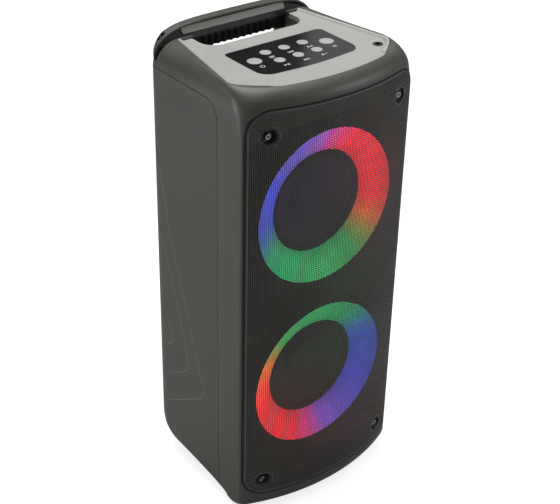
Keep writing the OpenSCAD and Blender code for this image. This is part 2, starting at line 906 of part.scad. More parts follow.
module mic_jack() {
    color([0.07, 0.07, 0.07])
    place()
    difference() {
        union() {
            translate([mic_x, mic_y, mic_top - 14]) cylinder(r = 6, h = 14);
            translate([mic_x - 7, mic_y - 4.9, mic_top - 32]) cube([14, 18, 20]);
        }
        translate([mic_x, mic_y, mic_top - mic_bore_length]) cylinder(r = mic_bore_r, h = 40);
    }
}

// ---------------------------------------------------------------- handle

module handle_liner() {
    color([0.05, 0.05, 0.05])
    place()
    difference() {
        union() {
            difference() {
                intersection() {
                    sweep_y(hoop_front - 2, hoop_rear)
                    intersection() {
                        polygon(hoop_outline(wall + 0.1));
                        translate([-hoop_half, shoulder_top + 0.1]) square([2 * hoop_half, 80]);
                    }
                    linear_extrude(400) hoop_plan(wall + 0.1);
                }
                sweep_y(150, 220) under_grip(0);
            }
            for (i = [0:rib_count - 1])
            translate([(i - (rib_count - 1) / 2) * 9.6, hoop_front - 2, grip_under + 0.5])
            cylinder(r = 3.1, h = 15, $fn = 24);
        }
        sweep_x(-76.2, 76.2) inlay_section(0.15);
        strap_eyes();
        sweep_x(-120, 120) polygon([[170, 287], [179.4, 287], [188, 301], [188, 320], [170, 320]]);
    }
}

module handle_inlay() {
    color([0.5, 0.5, 0.49])
    place()
    intersection() {
        sweep_x(-76, 76) inlay_section(0);
        sweep_y(170, 200) round_rect(-76, 76, 292.5, 301, 3.5);
    }
}

// ---------------------------------------------------------------- inside and rear

module bass_port() {
    flare = 4;
    flange = 8;
    color([0.08, 0.08, 0.08])
    place() facing_front(0, port_z)
    rotate_extrude($fn = 96)
    polygon(concat(
        [[port_r, body_rear - port_length]],
        arc(port_r + flare, body_rear + 1 - flare, flare, 180, 90, 5),
        [[port_r + flange, body_rear + 1], [port_r + flange, body_rear]],
        [[port_r + port_wall - 0.05, body_rear], [port_r + port_wall - 0.05, body_rear - port_length]]
    ));
}

module main_board() {
    color([0.1, 0.33, 0.2])
    place() {
        translate([-48, 165, 60]) cube([96, 1.6, 112]);
        for (x = [-34, -12, 12, 34]) facing_front(x, 84) translate([0, 0, 147]) cylinder(r = 8, h = 18);
        translate([-20, 161, 100]) cube([16, 4, 16]);
        translate([10, 158, 104]) cube([22, 7, 10]);
    }
}

module heat_sink() {
    color([0.7, 0.7, 0.72])
    place()
    difference() {
        translate([-42, 145, 128]) cube([84, 20, 36]);
        for (i = [0:8]) translate([-38.5 + i * 9, 140, 127]) cube([5, 20, 38]);
    }
}

module battery_pack() {
    color([0.2, 0.3, 0.6])
    place()
    intersection() {
        union() {
            for (i = [0:3])
            translate([-35, battery_y + i * 19, battery_floor + 9.3])
            rotate([0, 90, 0]) cylinder(r = 9.3, h = 70);
            translate([-35, battery_y, battery_floor]) cube([70, 57, 6]);
        }
        translate([-40, battery_y - 18, battery_floor + 0.05]) cube([80, 100, 60]);
    }
}

module battery_strap() {
    color([0.1, 0.1, 0.1])
    place()
    difference() {
        translate([-12, battery_y - 16, battery_floor]) cube([24, 89, 23]);
        translate([-20, battery_y - 9.5, battery_floor - 5]) cube([40, 76, 24.2]);
        translate([-20, battery_y - 28, battery_floor + 4]) cube([40, 16, 30]);
        translate([-20, battery_y + 69, battery_floor + 4]) cube([40, 16, 30]);
    }
}

module jack_panel() {
    color([0.08, 0.08, 0.08])
    place()
    difference() {
        sweep_y(body_rear - jack_recess - 2.4, body_rear - jack_recess)
        round_rect(-jack_w / 2 + 0.2, jack_w / 2 - 0.2,
            jack_z - jack_h / 2 + 0.2, jack_z + jack_h / 2 - 0.2, 5.8);
        facing_front(aux_x, jack_z) translate([0, 0, 180]) cylinder(r = 4.1, h = 30);
        facing_front(dc_x, jack_z) translate([0, 0, 180]) cylinder(r = 5.1, h = 30);
        translate([usb_x - 7.2, 180, jack_z - 3.7]) cube([14.4, 30, 7.4]);
    }
}

module round_socket(x, body_r, bore_r, bore_length, box) {
    front = body_rear - jack_recess;
    difference() {
        union() {
            facing_front(x, jack_z) translate([0, 0, front - 8]) cylinder(r = body_r, h = 8);
            translate([x - box / 2, front - 25.2, jack_z - box / 2]) cube([box, 18, box]);
        }
        facing_front(x, jack_z) translate([0, 0, front - bore_length]) cylinder(r = bore_r, h = 40, $fn = 48);
    }
}

module dc_socket() {
    color([0.05, 0.05, 0.05])
    place() {
        round_socket(dc_x, 5, dc_bore_r, 12, 12);
        facing_front(dc_x, jack_z) translate([0, 0, body_rear - jack_recess - 12.5]) cylinder(r = 1, h = 9, $fn = 32);
    }
}

module aux_socket() {
    color([0.05, 0.05, 0.05])
    place() round_socket(aux_x, 4, aux_bore_r, 15, 10);
}

module usb_socket() {
    color([0.7, 0.7, 0.72])
    place() {
        difference() {
            translate([usb_x - 7, 167, jack_z - 3.5]) cube([14, 24.5, 7]);
            translate([usb_x - 6.4, 170, jack_z - 2.9]) cube([12.8, 30, 5.8]);
        }
        translate([usb_x - 5.8, 169.9, jack_z + 0.4]) cube([11.6, 19, 2]);
    }
}

module rubber_feet() {
    color([0.05, 0.05, 0.05])
    place()
    for (p = foot_points)
    translate([p[0], p[1], -base_drop - foot_h])
    difference() {
        rotate_extrude() polygon([[0, 0], [11, 0], [12, 1], [13, foot_h], [0, foot_h]]);
        translate([0, 0, -1]) cylinder(r = 3.6, h = 4.5, $fn = 32);
        cylinder(r = 1.7, h = 20, $fn = 24);
    }
}

module foot_screws() {
    color([0.6, 0.6, 0.62])
    place()
    for (p = foot_points) translate([p[0], p[1], -base_drop - foot_h]) {
        translate([0, 0, 1.5]) cylinder(r = 3.2, h = 2, $fn = 32);
        translate([0, 0, 3]) cylinder(r = 1.5, h = 8, $fn = 24);
    }
}

module case_screws() {
    color([0.55, 0.55, 0.56])
    place()
    for (x = [-1, 1], z = case_screw_zs) facing_front(x * case_screw_x, z) {
        translate([0, 0, seam_depth + 5]) cylinder(r = 3.6, h = 2.4, $fn = 32);
        translate([0, 0, seam_depth - 11]) cylinder(r = 1.8, h = 16.5, $fn = 24);
    }
}

module damping_pad() {
    color([0.85, 0.85, 0.82])
    place()
    difference() {
        translate([-100, 172, -215]) cube([200, 16, 240]);
        facing_front(0, port_z) translate([0, 0, 160]) cylinder(r = 36, h = 40);
    }
}

// Straight lengths of round cable with rounded bends
module cable(points, r) {
    for (i = [0:len(points) - 2])
    hull() {
        translate(points[i]) sphere(r, $fn = 12);
        translate(points[i + 1]) sphere(r, $fn = 12);
    }
}

module speaker_cables() {
    color([0.6, 0.1, 0.1])
    place() {
        cable([[56, 60, 124], [70, 90, 118], [70, 140, 100], [52, 160, 80]], 1.8);
        cable([[56, 60, -118], [76, 90, -90], [76, 140, 20], [52, 160, 70]], 1.8);
        cable([[22, 126, -262], [22, 160, -240], [-64, 168, -150], [-64, 168, 60], [-52, 160, 76]], 1.8);
    }
}

// Flat ribbon from the control board down to the main board
module control_ribbon() {
    color([0.75, 0.75, 0.72])
    place()
    sweep_x(-14, 14)
    polygon([[100, board_top - board_t - 0.1], [100.8, board_top - board_t - 0.1],
        [100.8, 215.4], [154.8, 190.4], [154.8, 166], [154, 166], [154, 189.6], [100, 214.6]]);
}

front_shell();
rear_cabinet();
baffle();
grille();
grille_trim();
grille_screws();
upper_light_ring();
lower_light_ring();
upper_led_board();
lower_led_board();
upper_basket();
lower_basket();
driver_gaskets();
driver_screws();
upper_surround();
lower_surround();
upper_cone();
lower_cone();
upper_dust_cap();
lower_dust_cap();
upper_voice_coil();
lower_voice_coil();
upper_spider();
lower_spider();
upper_magnet();
lower_magnet();
upper_motor_steel();
lower_motor_steel();
top_panel();
key_pad_overlay();
power_key();
light_key();
mode_key();
previous_key();
volume_up_key();
play_key();
next_key();
volume_down_key();
control_board();
key_switches();
control_board_screws();
mic_jack();
handle_liner();
handle_inlay();
bass_port();
main_board();
heat_sink();
battery_pack();
battery_strap();
jack_panel();
dc_socket();
aux_socket();
usb_socket();
rubber_feet();
foot_screws();
case_screws();
baffle_screws();
damping_pad();
speaker_cables();
control_ribbon();
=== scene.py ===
"""Looks of a portable party speaker: bowed perforated grille, two light rings, deck with a
glossy key pad and a carry handle. Drawn in millimetres about the middle of the front
(x across, d depth behind the grille's side edges, z height above the woofers' midpoint)."""

import math

import bmesh
import bpy
import numpy as np
from mathutils import Matrix, Vector


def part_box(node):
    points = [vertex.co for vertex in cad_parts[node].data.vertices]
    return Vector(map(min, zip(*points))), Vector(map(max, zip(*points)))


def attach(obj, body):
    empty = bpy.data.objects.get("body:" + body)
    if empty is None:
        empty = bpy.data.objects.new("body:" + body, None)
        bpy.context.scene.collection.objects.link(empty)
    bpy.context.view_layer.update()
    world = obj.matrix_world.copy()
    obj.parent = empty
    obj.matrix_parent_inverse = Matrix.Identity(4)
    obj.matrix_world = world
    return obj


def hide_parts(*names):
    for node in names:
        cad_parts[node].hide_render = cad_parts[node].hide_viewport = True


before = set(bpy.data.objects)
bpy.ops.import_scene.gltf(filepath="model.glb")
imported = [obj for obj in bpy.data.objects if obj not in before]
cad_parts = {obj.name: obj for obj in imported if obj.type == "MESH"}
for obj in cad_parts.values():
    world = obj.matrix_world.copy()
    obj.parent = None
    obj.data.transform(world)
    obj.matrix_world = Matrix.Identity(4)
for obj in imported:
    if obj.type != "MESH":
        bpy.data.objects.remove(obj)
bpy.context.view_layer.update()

MM = 0.001
RING_BOXES = [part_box(n) for n in ("upper_light_ring", "lower_light_ring")]
FACE_Y = RING_BOXES[0][0][1]
RING_ZS = [(low[2] + high[2]) / 2 for low, high in RING_BOXES]
MID_Z = sum(RING_ZS) / 2

# Cabinet
HALF_W, REAR, BOW = 124.0, 196.0, 28.0
BOW_R = (HALF_W ** 2 + BOW ** 2) / (2 * BOW)
BOW_AXIS = BOW_R - BOW
BASE, DECK = -288.0, 294.0
WALL = 3.0
SEAM, SEAM_TOP, SEAM_CORNER = 46.0, 268.0, 22.0
SEAM_GAP = 0.7
SCREW_XS, SCREW_ZS = (-108, 108), (-262, -92, 92, 236)
JACK_POCKET, JACK_SLOT = (-55, 55, 127, 173), (-43, 43, 134, 166)
PORT_R = 26.5

# Ends of cutting tools, clear of the cabinet in front, behind and above or below
AHEAD, BEHIND, ABOVE, FAR = -60, REAR + 20, 330, 400

# Carry handle: half width and height of the arch from shoulder to crown, then its section
ARCH = [(122.2, 262), (121.2, 270), (118.2, 279), (112.6, 287.5), (104, 295.3), (94, 300.5),
        (81, 304), (64, 306), (40, 307), (0.0, 307.3)]
HOOP_FRONT, HOOP_REAR, HOOP_PLATE = 180.0, REAR + 1.0, 30.0
CROWN_R, LEG_R, LEG_DROP = 7, 22, 34
EYE_X, EYE_D, EYE_Z, EYE_TURN = 104, 187.5, 296, math.radians(32)

# Grille
GRILLE_HALF, GRILLE_TOP, GRILLE_BOTTOM, GRILLE_CORNER = 120.5, 274.0, -264.0, 28.0
POCKET_GAP, SEAT_DEPTH = 1.5, 1.6
HOLE_PITCH, HOLE_R = 2.82, 1.2
SHEET_T = 0.55
CUPS = [(x, z) for x in (-95.5, 95.5) for z in (-242.0, 242.0)]
CUP_R, CUP_FLOOR = 9.2, -5.2

# Deck and keys
PANEL_FLOOR, PANEL_FIELD, OVERLAY_TOP = 287.0, 291.5, 291.2
MIC = (95.0, 31.0)
SLOT_HALF, SLOT_FRONT, SLOT_FLOOR, SCOOP_R = 70.0, 136.0, 240.0, 35.0
KEYS = {
    "power": (-52.5, 73.4, 8.8), "light": (52.5, 73.4, 8.8),
    "mode": (-27.0, 86.7, 6.8), "previous": (0.0, 86.7, 6.8), "volume_up": (27.0, 86.7, 6.8),
    "play": (-27.0, 60.1, 6.8), "next": (0.0, 60.1, 6.8), "volume_down": (27.0, 60.1, 6.8),
}


def at(x, d, z):
    return Vector((x * MM, FACE_Y + d * MM, MID_Z + z * MM))


# ------------------------------------------------------------------ materials

def srgb(*values):
    out = []
    for v in values:
        c = v / 255
        out.append(c / 12.92 if c <= 0.04045 else ((c + 0.055) / 1.055) ** 2.4)
    return out


class Nodes:
    """Short hand for building one material's node tree."""

    def __init__(self, name):
        self.material = bpy.data.materials.new(name)
        self.material.use_nodes = True
        self.tree = self.material.node_tree
        self.surface = self.tree.nodes["Principled BSDF"]
        self.coords = self.add("ShaderNodeTexCoord").outputs["Object"]

    def add(self, kind, inputs=None, **settings):
        node = self.tree.nodes.new(kind)
        for key, value in settings.items():
            setattr(node, key, value)
        for key, value in (inputs or {}).items():
            self.put(node.inputs[key], value)
        return node

    def put(self, socket, value):
        if isinstance(value, bpy.types.NodeSocket):
            self.tree.links.new(value, socket)
        elif isinstance(value, (list, tuple)) and len(value) == 3 and socket.type == "RGBA":
            socket.default_value = (*value, 1)
        else:
            socket.default_value = value

    def noise(self, scale, detail=4.0, roughness=0.55):
        return self.add("ShaderNodeTexNoise", {
            "Vector": self.coords, "Scale": scale, "Detail": detail, "Roughness": roughness,
        }).outputs["Fac"]

    def math(self, operation, a, b=0.0, clamp=False):
        node = self.add("ShaderNodeMath", operation=operation, use_clamp=clamp)
        self.put(node.inputs[0], a)
        self.put(node.inputs[1], b)
        return node.outputs[0]

    def span(self, value, low, high, to_low, to_high):
        return self.add("ShaderNodeMapRange", {
            "Value": value, "From Min": low, "From Max": high,
            "To Min": to_low, "To Max": to_high,
        }).outputs["Result"]

    def mix(self, factor, a, b):
        node = self.add("ShaderNodeMix", data_type="RGBA")
        self.put(node.inputs[0], factor)
        self.put(node.inputs[6], a)
        self.put(node.inputs[7], b)
        return node.outputs[2]

    def axes(self):
        node = self.add("ShaderNodeSeparateXYZ", {"Vector": self.coords})
        return node.outputs

    def put_surface(self, **values):
        for key, value in values.items():
            label = key.replace("_", " ").title()
            self.put(self.surface.inputs[label], value)


def moulded(name, colour, roughness=0.45, metallic=0.0, grain=900, depth=0.00004,
            tint=0.06, round_edges=0.0, wear=0.35, blotch=14):
    """Plastic or metal: fine grain, slow blotches in tone and sheen, edges rubbed paler."""
    n = Nodes(name)
    slow = n.noise(blotch, 3.0)
    fine = n.noise(grain, 2.0, 0.6)
    light = [min(1, c * (1 + tint) + 0.004) for c in colour]
    dark = [c * (1 - tint) for c in colour]
    tone = n.mix(n.span(slow, 0.35, 0.65, 0, 1), dark, light)
    tone = n.mix(n.span(fine, 0.4, 0.6, 0, 0.35), tone, [c * 0.82 for c in colour])
    normal = None
    if round_edges:
        bevel = n.add("ShaderNodeBevel", {"Radius": round_edges * MM}, samples=4)
        normal = bevel.outputs["Normal"]
        flat = n.add("ShaderNodeNewGeometry").outputs["Normal"]
        dot = n.add("ShaderNodeVectorMath", operation="DOT_PRODUCT")
        n.put(dot.inputs[0], normal)
        n.put(dot.inputs[1], flat)
        edge = n.span(dot.outputs["Value"], 0.97, 0.75, 0, wear)
        edge = n.math("MULTIPLY", edge, n.span(n.noise(160, 2), 0.35, 0.6, 0.4, 1), True)
        tone = n.mix(edge, tone, [min(1, c * 1.7 + 0.03) for c in colour])
    bump = n.add("ShaderNodeBump", {"Height": fine, "Distance": depth, "Strength": 0.6})
    if normal:
        n.put(bump.inputs["Normal"], normal)
    sheen = n.span(slow, 0.3, 0.7, roughness * 0.9, roughness * 1.12)
    n.put_surface(base_color=tone, roughness=sheen, metallic=metallic,
                  normal=bump.outputs["Normal"])
    return n.material


def brushed(name, colour, roughness=0.3, scale=(40, 900, 900)):
    """Bare metal with drawn marks along one axis."""
    n = Nodes(name)
    stretch = n.add("ShaderNodeMapping", {"Vector": n.coords, "Scale": scale})
    marks = n.add("ShaderNodeTexNoise", {
        "Vector": stretch.outputs["Vector"], "Scale": 1.0, "Detail": 3.0}).outputs["Fac"]
    tone = n.mix(n.span(marks, 0.3, 0.7, 0, 1), [c * 0.8 for c in colour], colour)
    bump = n.add("ShaderNodeBump", {"Height": marks, "Distance": 0.00003, "Strength": 0.4})
    n.put_surface(base_color=tone, metallic=1.0, normal=bump.outputs["Normal"],
                  roughness=n.span(marks, 0.3, 0.7, roughness * 0.8, roughness * 1.3))
    return n.material


def glowing_ring(name, centre_z, stops):
    """Translucent funnel lit from behind: hue by angle, softer towards the inner edge."""
    n = Nodes(name)
    x, _, z = n.axes()
    up = n.math("SUBTRACT", z, centre_z)
    turn = n.span(n.math("ARCTAN2", up, x), -math.pi, math.pi, 0, 1)
    ramp = n.add("ShaderNodeValToRGB", {"Fac": turn})
    ramp.color_ramp.interpolation = "LINEAR"
    elements = ramp.color_ramp.elements
    placed = sorted(((a + 180) / 360, c) for a, c in stops)
    elements[0].position, elements[0].color = placed[0][0], (*srgb(*placed[0][1]), 1)
    elements[1].position, elements[1].color = placed[-1][0], (*srgb(*placed[-1][1]), 1)
    for position, colour in placed[1:-1]:
        elements.new(position).color = (*srgb(*colour), 1)
    radius = n.math("SQRT", n.math("ADD", n.math("MULTIPLY", x, x), n.math("MULTIPLY", up, up)))
    falloff = n.span(radius, 0.064, 0.080, 0.62, 1.0)
    lamps = n.math("SINE", n.math("MULTIPLY", turn, 24 * math.tau))
    spots = n.span(lamps, -1, 1, 0.93, 1.05)
    cloud = n.span(n.noise(30, 2), 0.3, 0.7, 0.9, 1.1)
    power = n.math("MULTIPLY", n.math("MULTIPLY", falloff, spots), cloud)
    face = n.span(radius, 0.0993, 0.0996, 1, 0)
    power = n.math("MULTIPLY", power, face)
    fine = n.noise(1500, 2)
    bump = n.add("ShaderNodeBump", {"Height": fine, "Distance": 0.00004, "Strength": 0.5})
    tinted = n.mix(0.55, (0.02, 0.02, 0.02), ramp.outputs["Color"])
    n.put_surface(base_color=n.mix(face, (0.008, 0.008, 0.008), tinted),
                  roughness=n.span(fine, 0.3, 0.7, 0.42, 0.55),
                  emission_color=ramp.outputs["Color"],
                  emission_strength=n.math("MULTIPLY", power, 1.95),
                  normal=bump.outputs["Normal"])
    return n.material


def paper(name, colour):
    """Pressed pulp with short fibres."""
    n = Nodes(name)
    fibres = n.add("ShaderNodeTexVoronoi", {"Vector": n.coords, "Scale": 700},
                   feature="DISTANCE_TO_EDGE").outputs["Distance"]
    cloud = n.noise(180, 6, 0.7)
    tone = n.mix(n.span(cloud, 0.3, 0.7, 0, 1), [c * 0.7 for c in colour],
                 [min(1, c * 1.3) for c in colour])
    height = n.math("ADD", n.math("MULTIPLY", fibres, 0.4), cloud)
    bump = n.add("ShaderNodeBump", {"Height": height, "Distance": 0.0002, "Strength": 0.6})
    n.put_surface(base_color=tone, roughness=n.span(cloud, 0.3, 0.7, 0.6, 0.8),
                  normal=bump.outputs["Normal"])
    return n.material


def woven(name, colour, threads=1300):
    """Cloth impregnated with resin: crossed threads."""
    n = Nodes(name)
    x, y, z = n.axes()
    across = n.math("SINE", n.math("MULTIPLY", x, threads * 2))
    along = n.math("SINE", n.math("MULTIPLY", n.math("ADD", y, z), threads * 2))
    weave = n.math("MULTIPLY", across, along)
    tone = n.mix(n.span(weave, -1, 1, 0, 1), [c * 0.6 for c in colour], colour)
    bump = n.add("ShaderNodeBump", {"Height": weave, "Distance": 0.0002, "Strength": 0.7})
    n.put_surface(base_color=tone, normal=bump.outputs["Normal"],
                  roughness=n.span(n.noise(300), 0.3, 0.7, 0.7, 0.95))
    return n.material


CABINET = srgb(74, 73, 68)
UPPER_HUES = [
    (-180, (58, 68, 185)), (-165, (45, 100, 150)), (-150, (40, 142, 92)), (-100, (45, 156, 88)),
    (-55, (52, 152, 80)), (-40, (135, 135, 60)), (-25, (230, 100, 50)), (-10, (250, 48, 48)),
    (25, (252, 42, 50)), (62, (248, 42, 62)), (78, (215, 60, 125)), (92, (150, 78, 182)),
    (112, (104, 82, 192)), (135, (76, 78, 190)), (180, (58, 68, 185)),
]
LOWER_HUES = [
    (-180, (228, 62, 48)), (-165, (228, 48, 50)), (-112, (226, 42, 56)), (-97, (205, 55, 125)),
    (-80, (128, 75, 188)), (-50, (88, 74, 192)), (-25, (62, 70, 198)), (15, (48, 80, 195)),
    (32, (42, 112, 165)), (45, (38, 142, 115)), (62, (42, 154, 84)), (100, (46, 158, 84)),
    (130, (60, 150, 76)), (143, (148, 134, 58)), (155, (222, 112, 48)), (180, (228, 62, 48)),
]

MAT = {
    "front": moulded("satin_shell_front", CABINET, 0.42, round_edges=1.4, wear=0.25),
    "rear": moulded("satin_shell_rear", [c * 0.97 for c in CABINET], 0.46, round_edges=0.9,
                    wear=0.2),
    "panel": moulded("deck_panel_grey", srgb(170, 169, 166), 0.4, round_edges=0.7, tint=0.03,
                     wear=0.3),
    "gloss": moulded("key_pad_gloss", srgb(13, 12, 13), 0.12, grain=60, depth=0.000006,
                     round_edges=0.3, tint=0.1, wear=0.1),
    "key": moulded("key_cap_grey", srgb(176, 175, 172), 0.34, tint=0.03),
    "ink": moulded("printed_ink", srgb(215, 214, 210), 0.55, tint=0.05),
    "liner": moulded("liner_black", srgb(24, 24, 23), 0.5, round_edges=0.6),
    "inlay": moulded("inlay_grey", srgb(172, 171, 166), 0.38, round_edges=0.8, tint=0.03),
    "grille": moulded("grille_paint", srgb(96, 96, 91), 0.36, metallic=0.5, grain=2500,
                      depth=0.00002),
    "fold": moulded("grille_fold_edge", srgb(104, 103, 99), 0.35, grain=2500, depth=0.00002),
    # The screw dishes are painted far darker than the grille sheet they are pressed into:
    # painted shade in the hollows.
    "cup": moulded("grille_cup_painted_shade", srgb(36, 36, 35), 0.4, grain=2500, depth=0.00002),
    "trim": moulded("trim_black", srgb(12, 12, 12), 0.55),
    # The moulded creases are painted lighter than the shell they are moulded in: painted
    # highlight along the ridges.
    "crease_highlight": moulded("crease_painted_highlight", srgb(104, 103, 98), 0.4),
    "black": moulded("black_plastic", srgb(28, 28, 28), 0.5, round_edges=0.4),
    "socket": moulded("socket_plastic", srgb(18, 18, 18), 0.35),
    "rubber": moulded("rubber_black", srgb(26, 26, 26), 0.8, grain=1400, depth=0.0001),
    "board": moulded("fibreboard_black", srgb(12, 12, 12), 0.8, grain=500, depth=0.0002),
    "circuit": moulded("circuit_board", srgb(20, 82, 46), 0.35, tint=0.15, blotch=160),
    "led_board": moulded("led_board_white", srgb(200, 202, 200), 0.4),
    "battery": moulded("battery_wrap", srgb(40, 70, 140), 0.35),
    "strap": moulded("strap_black", srgb(24, 24, 26), 0.7),
    "ferrite": moulded("ferrite", srgb(40, 40, 42), 0.6, grain=600, depth=0.0001),
    "copper": brushed("copper_coil", srgb(190, 110, 60), 0.35, (3000, 60, 3000)),
    "steel": brushed("zinc_steel", srgb(170, 170, 172), 0.3),
    "dark_steel": brushed("dark_steel", srgb(92, 92, 95), 0.36),
    "frame": moulded("basket_paint", srgb(46, 46, 48), 0.45, metallic=0.3),
    "alloy": brushed("alloy_extrusion", srgb(190, 191, 194), 0.35),
    "cone": paper("paper_cone", srgb(56, 50, 56)),
    "cloth": woven("spider_cloth", srgb(150, 110, 60)),
    "felt": moulded("damping_felt", srgb(190, 188, 182), 0.95, grain=700, depth=0.0006,
                    tint=0.15, blotch=60),
    "ribbon": moulded("ribbon_cable", srgb(150, 150, 155), 0.5),
    "cable": moulded("cable_sheath", srgb(30, 30, 32), 0.55),
    "upper_glow": glowing_ring("upper_glow", RING_ZS[0], UPPER_HUES),
    "lower_glow": glowing_ring("lower_glow", RING_ZS[1], LOWER_HUES),
}

CAD_FINISH = {
    "grille_trim": "trim", "grille_screws": "steel", "baffle": "board",
    "upper_light_ring": "upper_glow", "lower_light_ring": "lower_glow",
    "upper_led_board": "led_board", "lower_led_board": "led_board",
    "upper_basket": "frame", "lower_basket": "frame",
    "driver_gaskets": "rubber", "driver_screws": "dark_steel", "baffle_screws": "steel",
    "upper_surround": "rubber", "lower_surround": "rubber",
    "upper_cone": "cone", "lower_cone": "cone",
    "upper_dust_cap": "cone", "lower_dust_cap": "cone",
    "upper_voice_coil": "copper", "lower_voice_coil": "copper",
    "upper_spider": "cloth", "lower_spider": "cloth",
    "upper_magnet": "ferrite", "lower_magnet": "ferrite",
    "upper_motor_steel": "steel", "lower_motor_steel": "steel",
    "key_pad_overlay": "gloss", "control_board": "circuit", "key_switches": "socket",
    "control_board_screws": "steel", "mic_jack": "socket", "handle_liner": "liner",
    "handle_inlay": "inlay", "bass_port": "black", "main_board": "circuit",
    "heat_sink": "alloy", "battery_pack": "battery", "battery_strap": "strap",
    "jack_panel": "black", "dc_socket": "socket", "aux_socket": "socket",
    "usb_socket": "steel", "rubber_feet": "rubber", "foot_screws": "steel",
    "case_screws": "dark_steel", "damping_pad": "felt", "speaker_cables": "cable",
    "control_ribbon": "ribbon",
}


# ------------------------------------------------------------------ meshes

def add_mesh(name, verts, faces, smooth=35):
    mesh = bpy.data.meshes.new(name)
    mesh.from_pydata(verts, [], faces)
    mesh.update()
    obj = bpy.data.objects.new(name, mesh)
    bpy.context.scene.collection.objects.link(obj)
    shade(obj, smooth)
    return obj


def shade(obj, angle):
    obj.data.shade_smooth()
    obj.data.set_sharp_from_angle(angle=math.radians(angle))


def finish_piece(obj, material, body="cabinet", nodes=()):
    """Paints the piece, rides it on its body and hides the CAD nodes it stands for."""
    obj.data.materials.clear()
    obj.data.materials.append(MAT[material])
    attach(obj, body)
    if nodes:
        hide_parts(*nodes)
    return obj


def tidy_normals(obj):
    """Large flat faces keep their own normal beside rounded ones."""
    weighted = obj.modifiers.new("weighted", "WEIGHTED_NORMAL")
    weighted.keep_sharp = True
    weighted.weight = 80


def bake_down(obj):
    """Applies the modifiers."""
    graph = bpy.context.evaluated_depsgraph_get()
    graph.update()
    mesh = bpy.data.meshes.new_from_object(obj.evaluated_get(graph))
    obj.modifiers.clear()
    obj.data = mesh


def boolean(obj, *steps):
    """Applies (operation, tool) steps and removes the tools."""
    for operation, tool in steps:
        modifier = obj.modifiers.new("cut", "BOOLEAN")
        modifier.operation = operation
        modifier.object = tool
        modifier.solver = "MANIFOLD"
    bake_down(obj)
    for _, tool in steps:
        bpy.data.objects.remove(tool)
    return obj


def join(obj, *others):
    """Others' meshes go into obj's."""
    bm = bmesh.new()
    for o in (obj, *others):
        bm.from_mesh(o.data)
    bm.to_mesh(obj.data)
    bm.free()
    for o in others:
        bpy.data.objects.remove(o)
    return obj


def prism(axis, outline, low, high):
    """An outline swept along one axis: x takes (d, z), d takes (x, z) and z takes (x, d)."""
    spread = {
        "x": lambda p, s: at(s, p[0], p[1]),
        "d": lambda p, s: at(p[0], s, p[1]),
        "z": lambda p, s: at(p[0], p[1], s),
    }[axis]
    n = len(outline)
    verts = [spread(p, s) for s in (low, high) for p in outline]
    faces = [[i, (i + 1) % n, n + (i + 1) % n, n + i] for i in range(n)]
    faces += [list(range(n - 1, -1, -1)), list(range(n, 2 * n))]
    obj = add_mesh("tool", verts, faces)
    face_outwards(obj)
    return obj


def face_outwards(obj):
    bm = bmesh.new()
    bm.from_mesh(obj.data)
    bmesh.ops.recalc_face_normals(bm, faces=bm.faces)
    bm.to_mesh(obj.data)
    bm.free()


def arc(cx, cy, r, a0, a1, n, skip=0):
    turns = [a0 + (a1 - a0) * i / n for i in range(skip, n + 1)]
    return [(cx + r * math.cos(a), cy + r * math.sin(a)) for a in turns]


def round_rect(x0, x1, y0, y1, r, n=10):
    q = math.pi / 2
    return (arc(x1 - r, y0 + r, r, -q, 0, n) + arc(x1 - r, y1 - r, r, 0, q, n)
            + arc(x0 + r, y1 - r, r, q, 2 * q, n) + arc(x0 + r, y0 + r, r, 2 * q, 3 * q, n))


def tube(x, d0, d1, z, r, n=48):
    """A round bar along the depth."""
    return prism("d", [(x + r * math.cos(math.tau * i / n), z + r * math.sin(math.tau * i / n))
                       for i in range(n)], d0, d1)


def lathe(profile, centre, axis, n=64):
    """Turns (radius, distance along axis) points round the axis through centre."""
    along = Vector(axis)
    side = along.orthogonal().normalized()
    other = along.cross(side)
    verts, faces, m = [], [], len(profile)
    for i in range(n):
        a = math.tau * i / n
        ray = side * math.cos(a) + other * math.sin(a)
        verts += [Vector(centre) + (ray * r + along * h) * MM for r, h in profile]
    for i in range(n):
        j = (i + 1) % n
        faces += [[i * m + k, j * m + k, j * m + k + 1, i * m + k + 1] for k in range(m - 1)]
    bm = bmesh.new()
    made = [bm.verts.new(v) for v in verts]
    for f in faces:
        bm.faces.new([made[k] for k in f])
    bmesh.ops.remove_doubles(bm, verts=bm.verts, dist=1e-7)
    bmesh.ops.recalc_face_normals(bm, faces=bm.faces)
    mesh = bpy.data.meshes.new("turned")
    bm.to_mesh(mesh)
    bm.free()
    obj = bpy.data.objects.new("turned", mesh)
    bpy.context.scene.collection.objects.link(obj)
    shade(obj, 40)
    return obj


# ------------------------------------------------------------------ shells

def round_in(h, a, b):
    """How far an edge rounded over a wide and b high has moved in at h from its end."""
    return 0.0 if h >= b else a * (1 - math.sqrt(max(0, 1 - (1 - h / b) ** 2)))


def plan_outline(front_half, rear_half, front, rear, front_r, rear_r):
    axis = front + BOW_R
    cx = front_half - front_r
    cy = axis - math.sqrt((BOW_R - front_r) ** 2 - cx ** 2)
    a = math.atan2(cy - axis, cx)
    p = math.pi
    return (arc(0, axis, BOW_R, -p - a, a, 60)
            + arc(cx, cy, front_r, a, 0, 10, 1)
            + arc(rear_half - rear_r, rear - rear_r, rear_r, 0, p / 2, 12)
            + arc(rear_r - rear_half, rear - rear_r, rear_r, p / 2, p, 12)
            + arc(-cx, cy, front_r, p, p - a, 10)[:-1])


